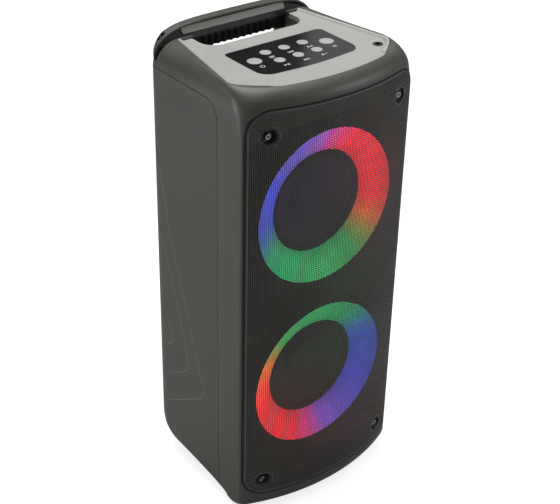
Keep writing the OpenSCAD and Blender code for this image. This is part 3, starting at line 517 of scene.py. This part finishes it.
def body_solid(inset):
    """The cabinet's outside, or its hollow when drawn in by the wall."""
    steps = [0, 0.3, 1, 2, 3.2, 4.6, 6, 8, 10, 12, 15, 18, 21, 24, 28, 32, 36]
    low_steps = steps + [40, 44, 48, 52, 55]
    top_steps = steps + [42, 50, 58, 65, 72]
    heights = ([BASE + h for h in low_steps] + [-180, -120, -60, 0, 60, 120, 180]
               + [DECK - h for h in reversed(top_steps)])
    verts, count = [], 0
    for z in heights:
        above, below = z - BASE, DECK - z
        side = round_in(above, 5, 14) + inset
        ring = plan_outline(
            HALF_W - side - round_in(below, 8, 30),
            HALF_W - side - round_in(below, 32, 36) - round_in(above, 30, 38),
            -BOW + inset + round_in(above, 16, 20) + round_in(below, 20, 20),
            REAR - inset - round_in(above, 55, 55),
            8 + round_in(above, 22, 22) + 40 * max(0, 1 - below / 72) ** 2, 32)
        level = z - inset * round_in(below, 1, 36) + inset * round_in(above, 1, 55)
        count = len(ring)
        verts += [at(x, d, level) for x, d in ring]
    faces = []
    for k in range(len(heights) - 1):
        for i in range(count):
            j = (i + 1) % count
            a, b = k * count, (k + 1) * count
            faces += [[a + i, a + j, b + j], [a + i, b + j, b + i]]
    last = (len(heights) - 1) * count
    faces += [list(range(count - 1, -1, -1)), list(range(last, last + count))]
    return add_mesh("body", verts, faces)


def front_region(gap):
    """The space ahead of and above the joint between the two shells."""
    depth, height, r = SEAM + gap, SEAM_TOP - gap, SEAM_CORNER - gap
    outline = ([(AHEAD, BASE - 20), (depth, BASE - 20)]
               + arc(depth + r, height - r, r, math.pi, math.pi / 2, 12)
               + [(REAR + 30, height), (REAR + 30, 360), (AHEAD, 360)])
    return prism("x", outline, -HALF_W - 20, HALF_W + 20)


def grip_opening(grow):
    """Hand opening: down behind the deck, then out through the rear."""
    front, floor_z, r = SLOT_FRONT - grow, SLOT_FLOOR - grow, SCOOP_R
    outline = ([(front, 340)] + arc(front + r, floor_z + r, r, math.pi, 1.5 * math.pi, 12)
               + [(BEHIND, floor_z), (BEHIND, 340)])
    half = SLOT_HALF + grow
    return boolean(prism("x", outline, -half, half),
                   ("INTERSECT", prism("z", round_rect(-half, half, front, REAR + 60, 20),
                                       200, 335)))


def block(x0, x1, d0, d1, z0, z1):
    return prism("z", [(x0, d0), (x1, d0), (x1, d1), (x0, d1)], z0, z1)


def sheet_depth(x, drop=0.0):
    """Depth of the bowed face at x, drop behind it."""
    return BOW_AXIS - math.sqrt((BOW_R - drop) ** 2 - x * x)


def bowed_pocket():
    """The recess in the front frame that takes the grille."""
    g = POCKET_GAP
    pocket = prism("d", round_rect(-GRILLE_HALF - g, GRILLE_HALF + g, GRILLE_BOTTOM - g,
                                   GRILLE_TOP + g, GRILLE_CORNER + g, 14), AHEAD, 30)
    span = math.radians(40)
    seat_r = BOW_R - SEAT_DEPTH
    turns = [-span + 2 * span * i / 80 for i in range(81)]
    back = [(seat_r * math.sin(a), BOW_AXIS - seat_r * math.cos(a)) for a in turns]
    keep = prism("z", back + [(back[-1][0], -80), (back[0][0], -80)], -FAR, FAR)
    return boolean(pocket, ("INTERSECT", keep))


def spline(points, per_span):
    """Catmull-Rom through the points."""
    pts = [np.array(p, float) for p in points]
    pts = [2 * pts[0] - pts[1]] + pts + [2 * pts[-1] - pts[-2]]
    out = []
    for i in range(1, len(pts) - 2):
        p0, p1, p2, p3 = pts[i - 1:i + 3]
        for k in range(per_span):
            t = k / per_span
            out.append(tuple(0.5 * (2 * p1 + (p2 - p0) * t
                                    + (2 * p0 - 5 * p1 + 4 * p2 - p3) * t * t
                                    + (3 * p1 - p0 - 3 * p2 + p3) * t ** 3)))
    out.append(tuple(pts[-2]))
    return out


def arch_path():
    right = spline(ARCH, 6)
    return right + [(-x, z) for x, z in reversed(right[:-1])]


def handle_arch():
    """The hoop: a C section swept over the arch, rounder at the rear of its legs."""
    path = arch_path()
    n = len(path)
    crown_z = path[n // 2][1]
    verts, faces = [], []
    front, rear = HOOP_FRONT, HOOP_REAR
    for i, (x, z) in enumerate(path):
        ax, az = path[max(i - 1, 0)]
        bx, bz = path[min(i + 1, n - 1)]
        tx, tz = bx - ax, bz - az
        size = math.hypot(tx, tz)
        nx, nz = -tz / size, tx / size
        r = CROWN_R + LEG_R * min(1, max(0, (crown_z - z) / LEG_DROP)) ** 1.5
        start, end = rear - r, math.pi / 2
        a0 = math.asin(max(0, front + 1.2 - start) / r)
        a1 = math.asin(max(0, front + 0.6 - start) / (r - WALL))
        lip, inner_lip = r - r * math.cos(a0), r - (r - WALL) * math.cos(a1)
        section = [(lip + 1.0, front), (lip + 0.25, front + 0.35), (lip, front + 0.9)]
        section += [(r - r * math.cos(a), start + r * math.sin(a))
                    for a in np.linspace(a0, end, 11)]
        section += [(HOOP_PLATE, rear), (HOOP_PLATE, rear - WALL)]
        section += [(r - (r - WALL) * math.cos(a), start + (r - WALL) * math.sin(a))
                    for a in np.linspace(end, a1, 7)]
        section += [(inner_lip, front + 0.5), (inner_lip - 0.5, front)]
        m = len(section)
        verts += [at(x + nx * inward, d, z + nz * inward) for inward, d in section]
        if i:
            for k in range(m):
                j = (k + 1) % m
                faces.append([(i - 1) * m + k, (i - 1) * m + j, i * m + j, i * m + k])
    faces += [list(range(m)), list(range((n - 1) * m, n * m))]
    arch = add_mesh("arch", verts, faces, 30)
    face_outwards(arch)
    return boolean(arch, *[("DIFFERENCE", strap_eye(side)) for side in (-1, 1)])


def strap_eye(side):
    """Oval hole square to the shoulder of the arch."""
    s, c = side * math.sin(EYE_TURN), math.cos(EYE_TURN)
    oval = round_rect(-7, 7, -3, 3, 2.99, 8)
    n = len(oval)
    verts = [at(side * EYE_X + u * c + h * s, EYE_D + v, EYE_Z - u * s + h * c)
             for h in (-12, 12) for u, v in oval]
    faces = [[i, (i + 1) % n, n + (i + 1) % n, n + i] for i in range(n)]
    faces += [list(range(n - 1, -1, -1)), list(range(n, 2 * n))]
    eye = add_mesh("eye", verts, faces)
    face_outwards(eye)
    return eye


def panel_outline():
    """Closed outline of the light deck panel, without the hand slot."""
    side = [(90.5, 172), (116.5, 36), (110, 26), (97, 14.5), (85, 6.5), (79, 0.5), (71, -2.8)]
    bow = [(x, -11.5 + x * x / 577) for x in np.linspace(-60, 60, 13)]
    points = ([(-x, d) for x, d in side] + bow + list(reversed(side)) + [(84, 169), (-84, 169)])
    radii = [0, 5, 6, 6, 5, 5, 0]
    return round_corners(points, radii + [0] * 13 + radii[::-1] + [0, 0], 8)


def build_front_shell():
    shell = body_solid(0)
    hollow = boolean(
        body_solid(WALL),
        ("DIFFERENCE", block(-HALF_W, HALF_W, AHEAD, 25.5, -FAR, FAR)),
        ("DIFFERENCE", block(-HALF_W, HALF_W, AHEAD, 240, 284, ABOVE)),
        ("DIFFERENCE", block(-HALF_W, HALF_W, 169.5, 240, 268, ABOVE)),
        ("DIFFERENCE", grip_opening(WALL)),
    )
    boolean(
        shell,
        ("INTERSECT", front_region(0)),
        ("DIFFERENCE", hollow),
        ("DIFFERENCE", bowed_pocket()),
        ("DIFFERENCE", prism("d", round_rect(-117, 117, GRILLE_BOTTOM + 4, GRILLE_TOP - 4, 24),
                             AHEAD, 21.5)),
        ("DIFFERENCE", prism("d", round_rect(-102, 102, -224, 224, 30), 0, 27)),
        ("DIFFERENCE", prism("z", offset_closed(resample(panel_outline(), 300), [-0.3] * 300),
                             PANEL_FLOOR, ABOVE)),
        ("DIFFERENCE", prism("z", round_rect(-68, 68, 34, 98, 8), 270, 300)),
        ("DIFFERENCE", prism("z", round_rect(MIC[0] - 6.3, MIC[0] + 6.3, MIC[1] - 6.3,
                                             MIC[1] + 6.3, 6.29), 270, 300)),
        ("DIFFERENCE", grip_opening(0)),
        ("DIFFERENCE", block(-HALF_W, HALF_W, 172.5, 240, 271, ABOVE)),
    )
    shade(shell, 28)
    join(shell, handle_arch())
    shell.name = "front_shell_moulding"
    tidy_normals(shell)
    return finish_piece(shell, "front", nodes=["front_shell"])


def build_rear_cabinet():
    shell = body_solid(0)
    x0, x1, z0, z1 = JACK_POCKET
    pocket = [round_rect(x0 - g, x1 + g, z0 - g, z1 + g, 6) for g in (0, WALL)]
    hollow = boolean(
        body_solid(WALL),
        ("DIFFERENCE", grip_opening(WALL)),
        ("DIFFERENCE", prism("d", pocket[1], REAR - 9.5, BEHIND)),
    )
    wells = [("DIFFERENCE", tube(x, SEAM + 60, BEHIND, z, 4.0, 32))
             for x in SCREW_XS for z in SCREW_ZS]
    boolean(
        shell,
        ("DIFFERENCE", front_region(SEAM_GAP)),
        ("DIFFERENCE", hollow),
        ("DIFFERENCE", grip_opening(0)),
        ("DIFFERENCE", prism("d", pocket[0], REAR - 6.5, BEHIND)),
        ("DIFFERENCE", prism("d", round_rect(*JACK_SLOT, 4), REAR - 20, REAR + 1)),
        ("DIFFERENCE", tube(0, 150, 210, 0, PORT_R, 72)),
        *wells,
    )
    shade(shell, 28)
    shell.name = "rear_cabinet_moulding"
    tidy_normals(shell)
    return finish_piece(shell, "rear", nodes=["rear_cabinet"])


# ------------------------------------------------------------------ grille

def in_round_rect(x, z, inset):
    """True inside the grille's outline, drawn in."""
    half = GRILLE_HALF - inset
    mid = (GRILLE_TOP + GRILLE_BOTTOM) / 2
    rise = (GRILLE_TOP - GRILLE_BOTTOM) / 2 - inset
    r = GRILLE_CORNER - inset
    dx, dz = np.abs(x) - (half - r), np.abs(z - mid) - (rise - r)
    outside = np.hypot(np.maximum(dx, 0), np.maximum(dz, 0))
    return (np.abs(x) <= half) & (np.abs(z - mid) <= rise) & (outside <= r)


def build_grille():
    """Hexagonal holes in a hexagonal lattice on the bowed sheet, in four upright strips."""
    column = HOLE_PITCH * math.sqrt(3) / 2
    reach = BOW_R * math.asin(GRILLE_HALF / BOW_R)
    cols = int(reach / column) + 1
    rows = int((GRILLE_TOP - GRILLE_BOTTOM) / 2 / HOLE_PITCH) + 2
    mid = (GRILLE_TOP + GRILLE_BOTTOM) / 2
    ids, centres, is_open = {}, [], []
    for i in range(-cols, cols + 1):
        s = i * column
        x = BOW_R * math.sin(s / BOW_R)
        for j in range(-rows, rows + 1):
            z = mid + j * HOLE_PITCH + (HOLE_PITCH / 2 if i % 2 else 0)
            if not in_round_rect(np.float64(x), np.float64(z), 0.9):
                continue
            away = min(math.hypot(x - cx, z - cz) for cx, cz in CUPS)
            if away < CUP_R + 0.5:
                continue
            ids[i, j] = len(centres)
            centres.append((s, z, i))
            is_open.append(bool(in_round_rect(np.float64(x), np.float64(z), 2.6))
                           and away > CUP_R + 2.8)
    centres = np.array(centres)
    corner = np.radians(np.arange(6) * 60)
    s = centres[:, 0][:, None] + HOLE_R * np.cos(corner)
    z = centres[:, 1][:, None] + HOLE_R * np.sin(corner)
    layers = []
    for drop in (0.0, SHEET_T):
        r = BOW_R - drop
        layers.append(np.stack([
            r * np.sin(s / BOW_R) * MM,
            FACE_Y + (BOW_AXIS - r * np.cos(s / BOW_R)) * MM,
            MID_Z + z * MM], -1).reshape(-1, 3))
    strips = [[] for _ in range(4)]
    edges = np.linspace(-cols - 1, cols + 1, 5)

    def strip_of(i):
        return min(3, max(0, int(np.searchsorted(edges, i, "right")) - 1))

    def corner_id(key, turn):
        return ids[key] * 6 + turn % 6

    for (i, j), index in ids.items():
        out = strips[strip_of(i)]
        up = (i, j + 1)
        right_up = (i + 1, j + (1 if i % 2 else 0))
        right_down = (i + 1, j - (0 if i % 2 else 1))
        here = (i, j)
        if up in ids:
            out.append([corner_id(here, 2), corner_id(here, 1), corner_id(up, 5),
                        corner_id(up, 4)])
        if right_up in ids:
            out.append([corner_id(here, 1), corner_id(here, 0), corner_id(right_up, 4),
                        corner_id(right_up, 3)])
        if right_down in ids:
            out.append([corner_id(here, 0), corner_id(here, 5), corner_id(right_down, 3),
                        corner_id(right_down, 2)])
        if up in ids and right_up in ids:
            out.append([corner_id(here, 1), corner_id(right_up, 3), corner_id(up, 5)])
        if right_up in ids and right_down in ids:
            out.append([corner_id(here, 0), corner_id(right_down, 2), corner_id(right_up, 4)])
        if not is_open[index]:
            out.append([index * 6 + k for k in range(6)])
    offset = len(layers[0])
    pieces = []
    for number, front_faces in enumerate(strips):
        rear_faces = [[offset + v for v in reversed(f)] for f in front_faces]
        walls = []
        for (i, _), index in ids.items():
            if strip_of(i) == number and is_open[index]:
                walls += [[index * 6 + k, index * 6 + (k + 1) % 6,
                           offset + index * 6 + (k + 1) % 6, offset + index * 6 + k]
                          for k in range(6)]
        faces = front_faces + rear_faces + walls
        used = sorted({v for f in faces for v in f})
        renumber = {v: k for k, v in enumerate(used)}
        both = np.concatenate(layers)
        obj = add_mesh(f"grille_sheet_{number + 1}", both[used].tolist(),
                       [[renumber[v] for v in f] for f in faces])
        pieces.append(finish_piece(obj, "grille", nodes=["grille"]))
    build_grille_edge()
    for number, (x, z) in enumerate(CUPS):
        build_cup(number + 1, x, z)
    return pieces


def band_along(name, outline_at, profile, material):
    """A band round the grille: profile holds (inset from the outline, drop behind the face)."""
    rings = [outline_at(inset) for inset, _ in profile]
    n, m = len(rings[0]), len(profile)
    verts = [at(p[0], sheet_depth(p[0], drop), p[1])
             for ring, (_, drop) in zip(rings, profile) for p in ring]
    faces = []
    for k in range(m):
        b = (k + 1) % m
        faces += [[k * n + i, k * n + (i + 1) % n, b * n + (i + 1) % n, b * n + i]
                  for i in range(n)]
    obj = add_mesh(name, verts, faces, 50)
    face_outwards(obj)
    return finish_piece(obj, material)


def grille_outline(inset):
    """Dense outline, so that the top and bottom edges follow the bow."""
    r = GRILLE_CORNER - inset
    x1, z0, z1 = GRILLE_HALF - inset, GRILLE_BOTTOM + inset, GRILLE_TOP - inset
    q = math.pi / 2
    flat = np.linspace(-x1 + r, x1 - r, 41)[1:-1]
    return (arc(x1 - r, z0 + r, r, -q, 0, 14) + arc(x1 - r, z1 - r, r, 0, q, 14)
            + [(x, z1) for x in reversed(flat)]
            + arc(r - x1, z1 - r, r, q, 2 * q, 14) + arc(r - x1, z0 + r, r, 2 * q, 3 * q, 14)
            + [(x, z0) for x in flat])


def build_grille_edge():
    """Plain folded margin round the holes."""
    band_along("grille_margin", grille_outline,
               [(0.15, 1.2), (0.0, 0.5), (0.2, -0.05), (0.5, -0.12), (1.5, -0.1), (1.6, 0.5)],
               "trim")
    band_along("grille_fold", grille_outline,
               [(1.6, 0.5), (1.6, -0.12), (1.75, -0.2), (1.95, -0.2), (2.1, -0.08), (2.1, 0.5)],
               "fold")


def build_cup(number, cx, cz):
    """Dish pressed into the sheet for a screw, painted much darker than the sheet as painted
    shade in the hollow.
    """
    profile = [(11.4, 0.0, 0.05), (11.1, 0.0, -0.12), (9.8, 0.0, -0.15), (9.1, 0.05, 0.05),
               (8.6, 0.25, 0.0), (8.2, 0.6, 0.0), (7.6, 0.88, 0.0), (6.6, 1.0, 0.0),
               (2.5, 1.0, 0.0), (2.5, 1.0, 0.6), (6.7, 1.0, 0.6), (8.1, 0.88, 0.5),
               (8.8, 0.6, 0.4), (9.2, 0.25, 0.5), (11.4, 0.0, 0.5)]
    n, m = 56, len(profile)
    verts, faces = [], []
    for i in range(n):
        a = math.tau * i / n
        for r, share, lift in profile:
            x, z = cx + r * math.cos(a), cz + r * math.sin(a)
            face = sheet_depth(x)
            verts.append(at(x, face + (CUP_FLOOR - face) * share + lift, z))
        j = (i + 1) % n
        faces += [[i * m + k, j * m + k, j * m + (k + 1) % m, i * m + (k + 1) % m]
                  for k in range(m)]
    obj = add_mesh(f"grille_cup_{number}", verts, faces, 50)
    face_outwards(obj)
    finish_piece(obj, "cup")


# ------------------------------------------------------------------ deck

def resample(points, count):
    """Evenly spaced points along a closed outline."""
    pts = np.array(points + [points[0]], float)
    lengths = np.hypot(*np.diff(pts, axis=0).T)
    total = np.concatenate([[0], np.cumsum(lengths)])
    where = np.linspace(0, total[-1], count, endpoint=False)
    return np.stack([np.interp(where, total, pts[:, k]) for k in (0, 1)], 1)


def round_corners(points, radius, n=6):
    """Fillets every corner of a closed outline; radius is one number or one per corner."""
    pts = [Vector((p[0], p[1])) for p in points]
    out = []
    for i, p in enumerate(pts):
        a, b = pts[i - 1] - p, pts[(i + 1) % len(pts)] - p
        r = radius[i] if isinstance(radius, list) else radius
        la, lb = a.length, b.length
        a.normalize()
        b.normalize()
        half = a.angle(b) / 2
        if r <= 0 or half > math.pi / 2 - 0.02:
            out.append((p.x, p.y))
            continue
        reach = min(r / math.tan(half), la * 0.45, lb * 0.45)
        start, end = p + a * reach, p + b * reach
        for k in range(n + 1):
            t = k / n
            q = start * (1 - t) ** 2 + p * 2 * t * (1 - t) + end * t * t
            out.append((q.x, q.y))
    return out


def offset_closed(points, distances):
    """Moves each point inwards by its own distance (outline runs counter-clockwise)."""
    n = len(points)
    out = []
    for i in range(n):
        a, b = points[i - 1], points[(i + 1) % n]
        t = np.array(b) - np.array(a)
        t /= np.hypot(*t)
        out.append(points[i] + np.array([-t[1], t[0]]) * distances[i])
    return np.array(out)


def build_panel():
    """Light panel: a flat field with the hand slot, the key pad well and raised side rims."""
    panel = prism("z", panel_outline(), PANEL_FLOOR + 0.05, PANEL_FIELD)
    boolean(panel,
            ("DIFFERENCE", prism("z", round_rect(-72, 72, SLOT_FRONT - 2, 260, 20), 280, 300)),
            ("DIFFERENCE", prism("z", PAD, 280, 300)),
            ("DIFFERENCE", prism("z", [(MIC[0] + 6.15 * math.cos(math.tau * i / 48),
                                        MIC[1] + 6.15 * math.sin(math.tau * i / 48))
                                       for i in range(48)], 280, 300)))
    join(panel, panel_rim(-1), panel_rim(1))
    shade(panel, 30)
    tidy_normals(panel)
    finish_piece(panel, "panel", nodes=["top_panel"])


def panel_rim(side):
    """Low rim along one side edge of the panel, running out towards the front."""
    line = open_fillet([(90.3, 171.5), (116.2, 36.2), (109.8, 26.3), (97, 14.9),
                        (85.5, 7.2)], 5)
    section = [(0.1, -0.4), (0.1, 0.75), (0.7, 1.0), (3.4, 1.0), (4.2, 0.8), (6.0, 0.02),
               (6.0, -0.4)]
    m, n = len(section), len(line)
    verts, faces = [], []
    for i, p in enumerate(line):
        a, b = line[max(i - 1, 0)], line[min(i + 1, n - 1)]
        t = np.array(b) - np.array(a)
        t /= np.hypot(*t)
        inward = np.array([t[1], -t[0]])
        rise = 2.5 * min(1, 0.15 + (n - 1 - i) / 5)
        for step, share in section:
            q = np.array(p) + inward * step
            verts.append(at(side * q[0], q[1], PANEL_FIELD + max(-1, share * rise)))
        if i:
            before, here = (i - 1) * m, i * m
            faces += [[before + k, before + (k + 1) % m, here + (k + 1) % m, here + k]
                      for k in range(m)]
    faces += [list(range(m)), list(range((n - 1) * m, n * m))]
    rim = add_mesh("rim", verts, faces, 30)
    face_outwards(rim)
    return rim


QUARTER = math.pi / 2
PAD = (arc(-64, 102, 7, 2 * QUARTER, QUARTER, 8) + arc(64, 102, 7, QUARTER, 0, 8)
       + arc(53, 49, 18, 0, math.radians(-82), 10)
       + [(x, 27.6 + x * x / 700) for x in np.linspace(44, -44, 9)]
       + arc(-53, 49, 18, math.radians(-98), -2 * QUARTER, 10))


def flat_shapes(name, shapes, z, thickness, material):
    """Printed marks: closed outlines given a little thickness."""
    verts, faces = [], []
    for shape in shapes:
        n, base = len(shape), len(verts)
        verts += [at(x, d, h) for h in (z, z + thickness) for x, d in shape]
        faces += [[base + i, base + (i + 1) % n, base + n + (i + 1) % n, base + n + i]
                  for i in range(n)]
        faces += [list(range(base + n, base + 2 * n)), list(range(base + n - 1, base - 1, -1))]
    obj = add_mesh(name, verts, faces)
    face_outwards(obj)
    finish_piece(obj, material)


def ring_sector(cx, cy, r, w, a0, a1, n=20):
    a0, a1 = math.radians(a0), math.radians(a1)
    return arc(cx, cy, r, a0, a1, n) + arc(cx, cy, r - w, a1, a0, n)


def bar(x0, x1, y0, y1):
    return [(x0, y0), (x1, y0), (x1, y1), (x0, y1)]


def build_icons():
    """Generic symbols printed in front of each key."""
    shapes = []

    def move(outline, cx, cy):
        shapes.append([(1.2 * x + cx, 1.2 * y + cy) for x, y in outline])

    def wedge(cx, cy):
        move([(-3.2, -0.8), (-2.2, -0.8), (-0.8, -2.0), (-0.8, 2.0), (-2.2, 0.8), (-3.2, 0.8)],
             cx, cy)

    move(ring_sector(0, 0, 2.6, 0.6, 125, 415), -54.5, 56.0)
    move(bar(-0.3, 0.3, 0.4, 3.0), -54.5, 56.0)
    move(ring_sector(0, 0, 1.5, 0.55, 0, 359.9), 50.5, 56.0)
    for k in range(8):
        a = math.tau * k / 8
        c, s = math.cos(a), math.sin(a)
        move([(r * c + w * s, r * s - w * c)
              for r, w in ((2.1, 0.25), (3.0, 0.25), (3.0, -0.25), (2.1, -0.25))], 50.5, 56.0)
    for k, half in enumerate((3.0, 3.0, 1.8)):
        move(bar(-3.0, -3.0 + 2 * half, 1.2 - k * 1.5, 1.9 - k * 1.5), -28.5, 71.5)
    for x in (-0.9, 1.9):
        move([(x - 2.0, 0), (x + 0.6, -1.7), (x + 0.6, 1.7)], -1.5, 71.5)
    move(bar(-3.7, -3.1, -1.7, 1.7), -1.5, 71.5)
    for x in (-1.9, 0.9):
        move([(x - 0.6, -1.7), (x + 2.0, 0), (x - 0.6, 1.7)], -1.5, 44.0)
    move(bar(3.1, 3.7, -1.7, 1.7), -1.5, 44.0)
    move([(-3.0, -1.7), (-0.3, 0), (-3.0, 1.7)], -28.5, 44.5)
    move(bar(0.6, 1.4, -1.7, 1.7), -28.5, 44.5)
    move(bar(2.2, 3.0, -1.7, 1.7), -28.5, 44.5)
    wedge(25.8, 71.5)
    move(bar(0.4, 3.6, -0.35, 0.35), 25.8, 71.5)
    move(bar(1.65, 2.35, 0.35, 1.6), 25.8, 71.5)
    move(bar(1.65, 2.35, -1.6, -0.35), 25.8, 71.5)
    wedge(25.0, 44.0)
    move(bar(0.4, 3.6, -0.35, 0.35), 25.0, 44.0)
    flat_shapes("key_symbols", shapes, OVERLAY_TOP + 0.02, 0.05, "ink")


def build_keys():
    """Slightly domed caps with a rounded edge, a retaining flange and a stem."""
    flange_top, stem_bottom = PANEL_FLOOR - 0.1, PANEL_FLOOR - 3.4
    top = OVERLAY_TOP + 0.5
    for name, (x, d, r) in KEYS.items():
        dome = [(r * k / 8 * 0.86, top - 0.18 * (k / 8) ** 2) for k in range(9)]
        profile = dome + [(r * 0.94, top - 0.26), (r * 0.985, top - 0.42), (r, top - 0.7),
                          (r, flange_top), (r + 1.4, flange_top), (r + 1.4, flange_top - 1.5),
                          (2, flange_top - 1.5), (2, stem_bottom), (0, stem_bottom)]
        cap = lathe(profile, at(x, d, 0), (0, 0, 1), 56)
        cap.name = f"{name}_key_cap"
        finish_piece(cap, "key", f"{name}_key_cap", [f"{name}_key"])


# ------------------------------------------------------------------ side creases

CREASES = [
    [(170, 161), (146, 57), (106, -61), (76, -148), (90, -163), (169, -213)],
    [(168, 58), (128, -59), (110, -127), (122, -138), (167, -168)],
    [(164, -51), (144, -102), (158, -116), (166, -121)],
]


def build_creases():
    """Three nested fine ridges on each side panel, painted lighter than the shell as painted
    highlight along them.
    """
    for side, label in ((-1, "left"), (1, "right")):
        verts, faces = [], []
        for line in CREASES:
            path = open_fillet(line, 9)
            base = len(verts)
            for i, p in enumerate(path):
                a, b = path[max(i - 1, 0)], path[min(i + 1, len(path) - 1)]
                t = np.array(b) - np.array(a)
                t /= np.hypot(*t)
                n = np.array([-t[1], t[0]])
                fade = min(1, i / 6, (len(path) - 1 - i) / 6)
                for across, lift in ((-0.9, -0.12), (-0.35, 0.16), (0.35, 0.16), (0.9, -0.12)):
                    q = np.array(p) + n * across * max(0.15, fade)
                    verts.append(at(side * (HALF_W + lift), q[0], q[1]))
            for i in range(len(path) - 1):
                for k in range(3):
                    o = base + i * 4 + k
                    faces.append([o, o + 4, o + 5, o + 1])
        obj = add_mesh(f"side_creases_{label}", verts, faces, 60)
        finish_piece(obj, "crease_highlight")


def open_fillet(points, radius):
    """Rounds the inner corners of an open line and spaces its points evenly."""
    pts = [np.array(p, float) for p in points]
    out = [pts[0]]
    for a, p, b in zip(pts, pts[1:], pts[2:]):
        u, v = a - p, b - p
        reach = min(radius, np.hypot(*u) * 0.45, np.hypot(*v) * 0.45)
        u, v = u / np.hypot(*u) * reach, v / np.hypot(*v) * reach
        for k in range(9):
            t = k / 8
            out.append((p + u) * (1 - t) ** 2 + p * 2 * t * (1 - t) + (p + v) * t * t)
    out.append(pts[-1])
    dense = []
    for a, b in zip(out, out[1:]):
        steps = max(1, int(np.hypot(*(b - a)) / 6))
        dense += [a + (b - a) * k / steps for k in range(steps)]
    return [tuple(p) for p in dense + [out[-1]]]


# ------------------------------------------------------------------ scene

def dress_cad_nodes():
    """Materials for the CAD nodes that are carried over as they are."""
    for name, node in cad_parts.items():
        if node.hide_render or name not in CAD_FINISH:
            continue
        for slot in node.material_slots:
            slot.material = MAT[CAD_FINISH[name]]


def add_area(name, location, target, size, power):
    data = bpy.data.lights.new(name, "AREA")
    data.shape = "RECTANGLE"
    data.size, data.size_y = size
    data.energy = power
    lamp = bpy.data.objects.new(name, data)
    bpy.context.scene.collection.objects.link(lamp)
    lamp.location = location
    aim = Vector(target) - Vector(location)
    lamp.rotation_euler = aim.to_track_quat("-Z", "Y").to_euler()
    return lamp


# Where a card has to stand to be mirrored in the right part of the key pad
CARD_AT = (0.856, 0.611, 1.0)

# Camera at the photograph's viewing angle
CAMERA_AT = (-0.8626, -1.0739, 1.1443)
CAMERA_RIGHT = (0.78755, -0.61588, 0.02144)
CAMERA_UP = (0.30462, 0.41930, 0.85522)
CAMERA_AHEAD = (0.53570, 0.66699, -0.51782)
SENSOR, LENS = 36, 82.055


def set_stage():
    scene = bpy.context.scene
    scene.view_settings.view_transform = "Standard"
    floor = add_mesh("floor", [(-6, -6, 0), (6, -6, 0), (6, 6, 0), (-6, 6, 0)], [[0, 1, 2, 3]])
    n = Nodes("pale_floor")
    seen = n.add("ShaderNodeLightPath").outputs["Is Camera Ray"]
    n.put_surface(base_color=n.mix(n.span(n.noise(3), 0.3, 0.7, 0, 1), (0.44, 0.44, 0.44),
                                   (0.48, 0.48, 0.48)), roughness=0.9,
                  emission_color=(1, 1, 1),
                  emission_strength=n.math("MULTIPLY", seen, 0.78))
    floor.data.materials.append(n.material)

    world = bpy.data.worlds.new("studio")
    scene.world = world
    world.use_nodes = True
    tree = world.node_tree
    back = tree.nodes["Background"]
    back.inputs["Color"].default_value = (1, 1, 1, 1)
    path = tree.nodes.new("ShaderNodeLightPath")
    where = tree.nodes.new("ShaderNodeTexCoord")
    split = tree.nodes.new("ShaderNodeSeparateXYZ")
    tree.links.new(where.outputs["Generated"], split.inputs["Vector"])

    def remap(source, low, high, to_low, to_high):
        node = tree.nodes.new("ShaderNodeMapRange")
        tree.links.new(source, node.inputs["Value"])
        for socket, value in (("From Min", low), ("From Max", high), ("To Min", to_low),
                              ("To Max", to_high)):
            node.inputs[socket].default_value = value
        return node.outputs["Result"]

    def times(a, b):
        node = tree.nodes.new("ShaderNodeMath")
        node.operation = "MULTIPLY"
        tree.links.new(a, node.inputs[0])
        tree.links.new(b, node.inputs[1])
        return node.outputs[0]

    height = remap(split.outputs["Z"], 0.55, 1.0, 0.08, 1.9)
    away = remap(split.outputs["Y"], -1.0, 0.6, 0.3, 1.1)
    pick = tree.nodes.new("ShaderNodeMix")
    tree.links.new(path.outputs["Is Camera Ray"], pick.inputs[0])
    tree.links.new(times(height, away), pick.inputs[2])
    pick.inputs[3].default_value = 1.0
    tree.links.new(pick.outputs[0], back.inputs["Strength"])

    add_area("side_light", (-1.9, 0.85, 0.3), (-0.12, 0.02, 0.1), (0.8, 0.5), 11)
    add_area("front_light", (1.5, -1.6, 1.1), (0, -0.1, 0.3), (0.9, 0.9), 12)
    add_area("top_light", (0.0, 0.5, 2.0), (0, 0, 0.6), (1.4, 1.0), 16)
    add_area("pad_card", CARD_AT, at(30, 70, OVERLAY_TOP), (0.5, 0.7), 0.5)

    camera = bpy.data.cameras.new("camera")
    camera.sensor_width, camera.lens = SENSOR, LENS
    holder = bpy.data.objects.new("camera", camera)
    scene.collection.objects.link(holder)
    turn = Matrix((CAMERA_RIGHT, CAMERA_UP, -Vector(CAMERA_AHEAD))).transposed().to_4x4()
    holder.matrix_world = Matrix.Translation(CAMERA_AT) @ turn
    scene.camera = holder


set_stage()
build_front_shell()
build_rear_cabinet()
build_grille()
build_panel()
build_icons()
build_keys()
build_creases()
dress_cad_nodes()
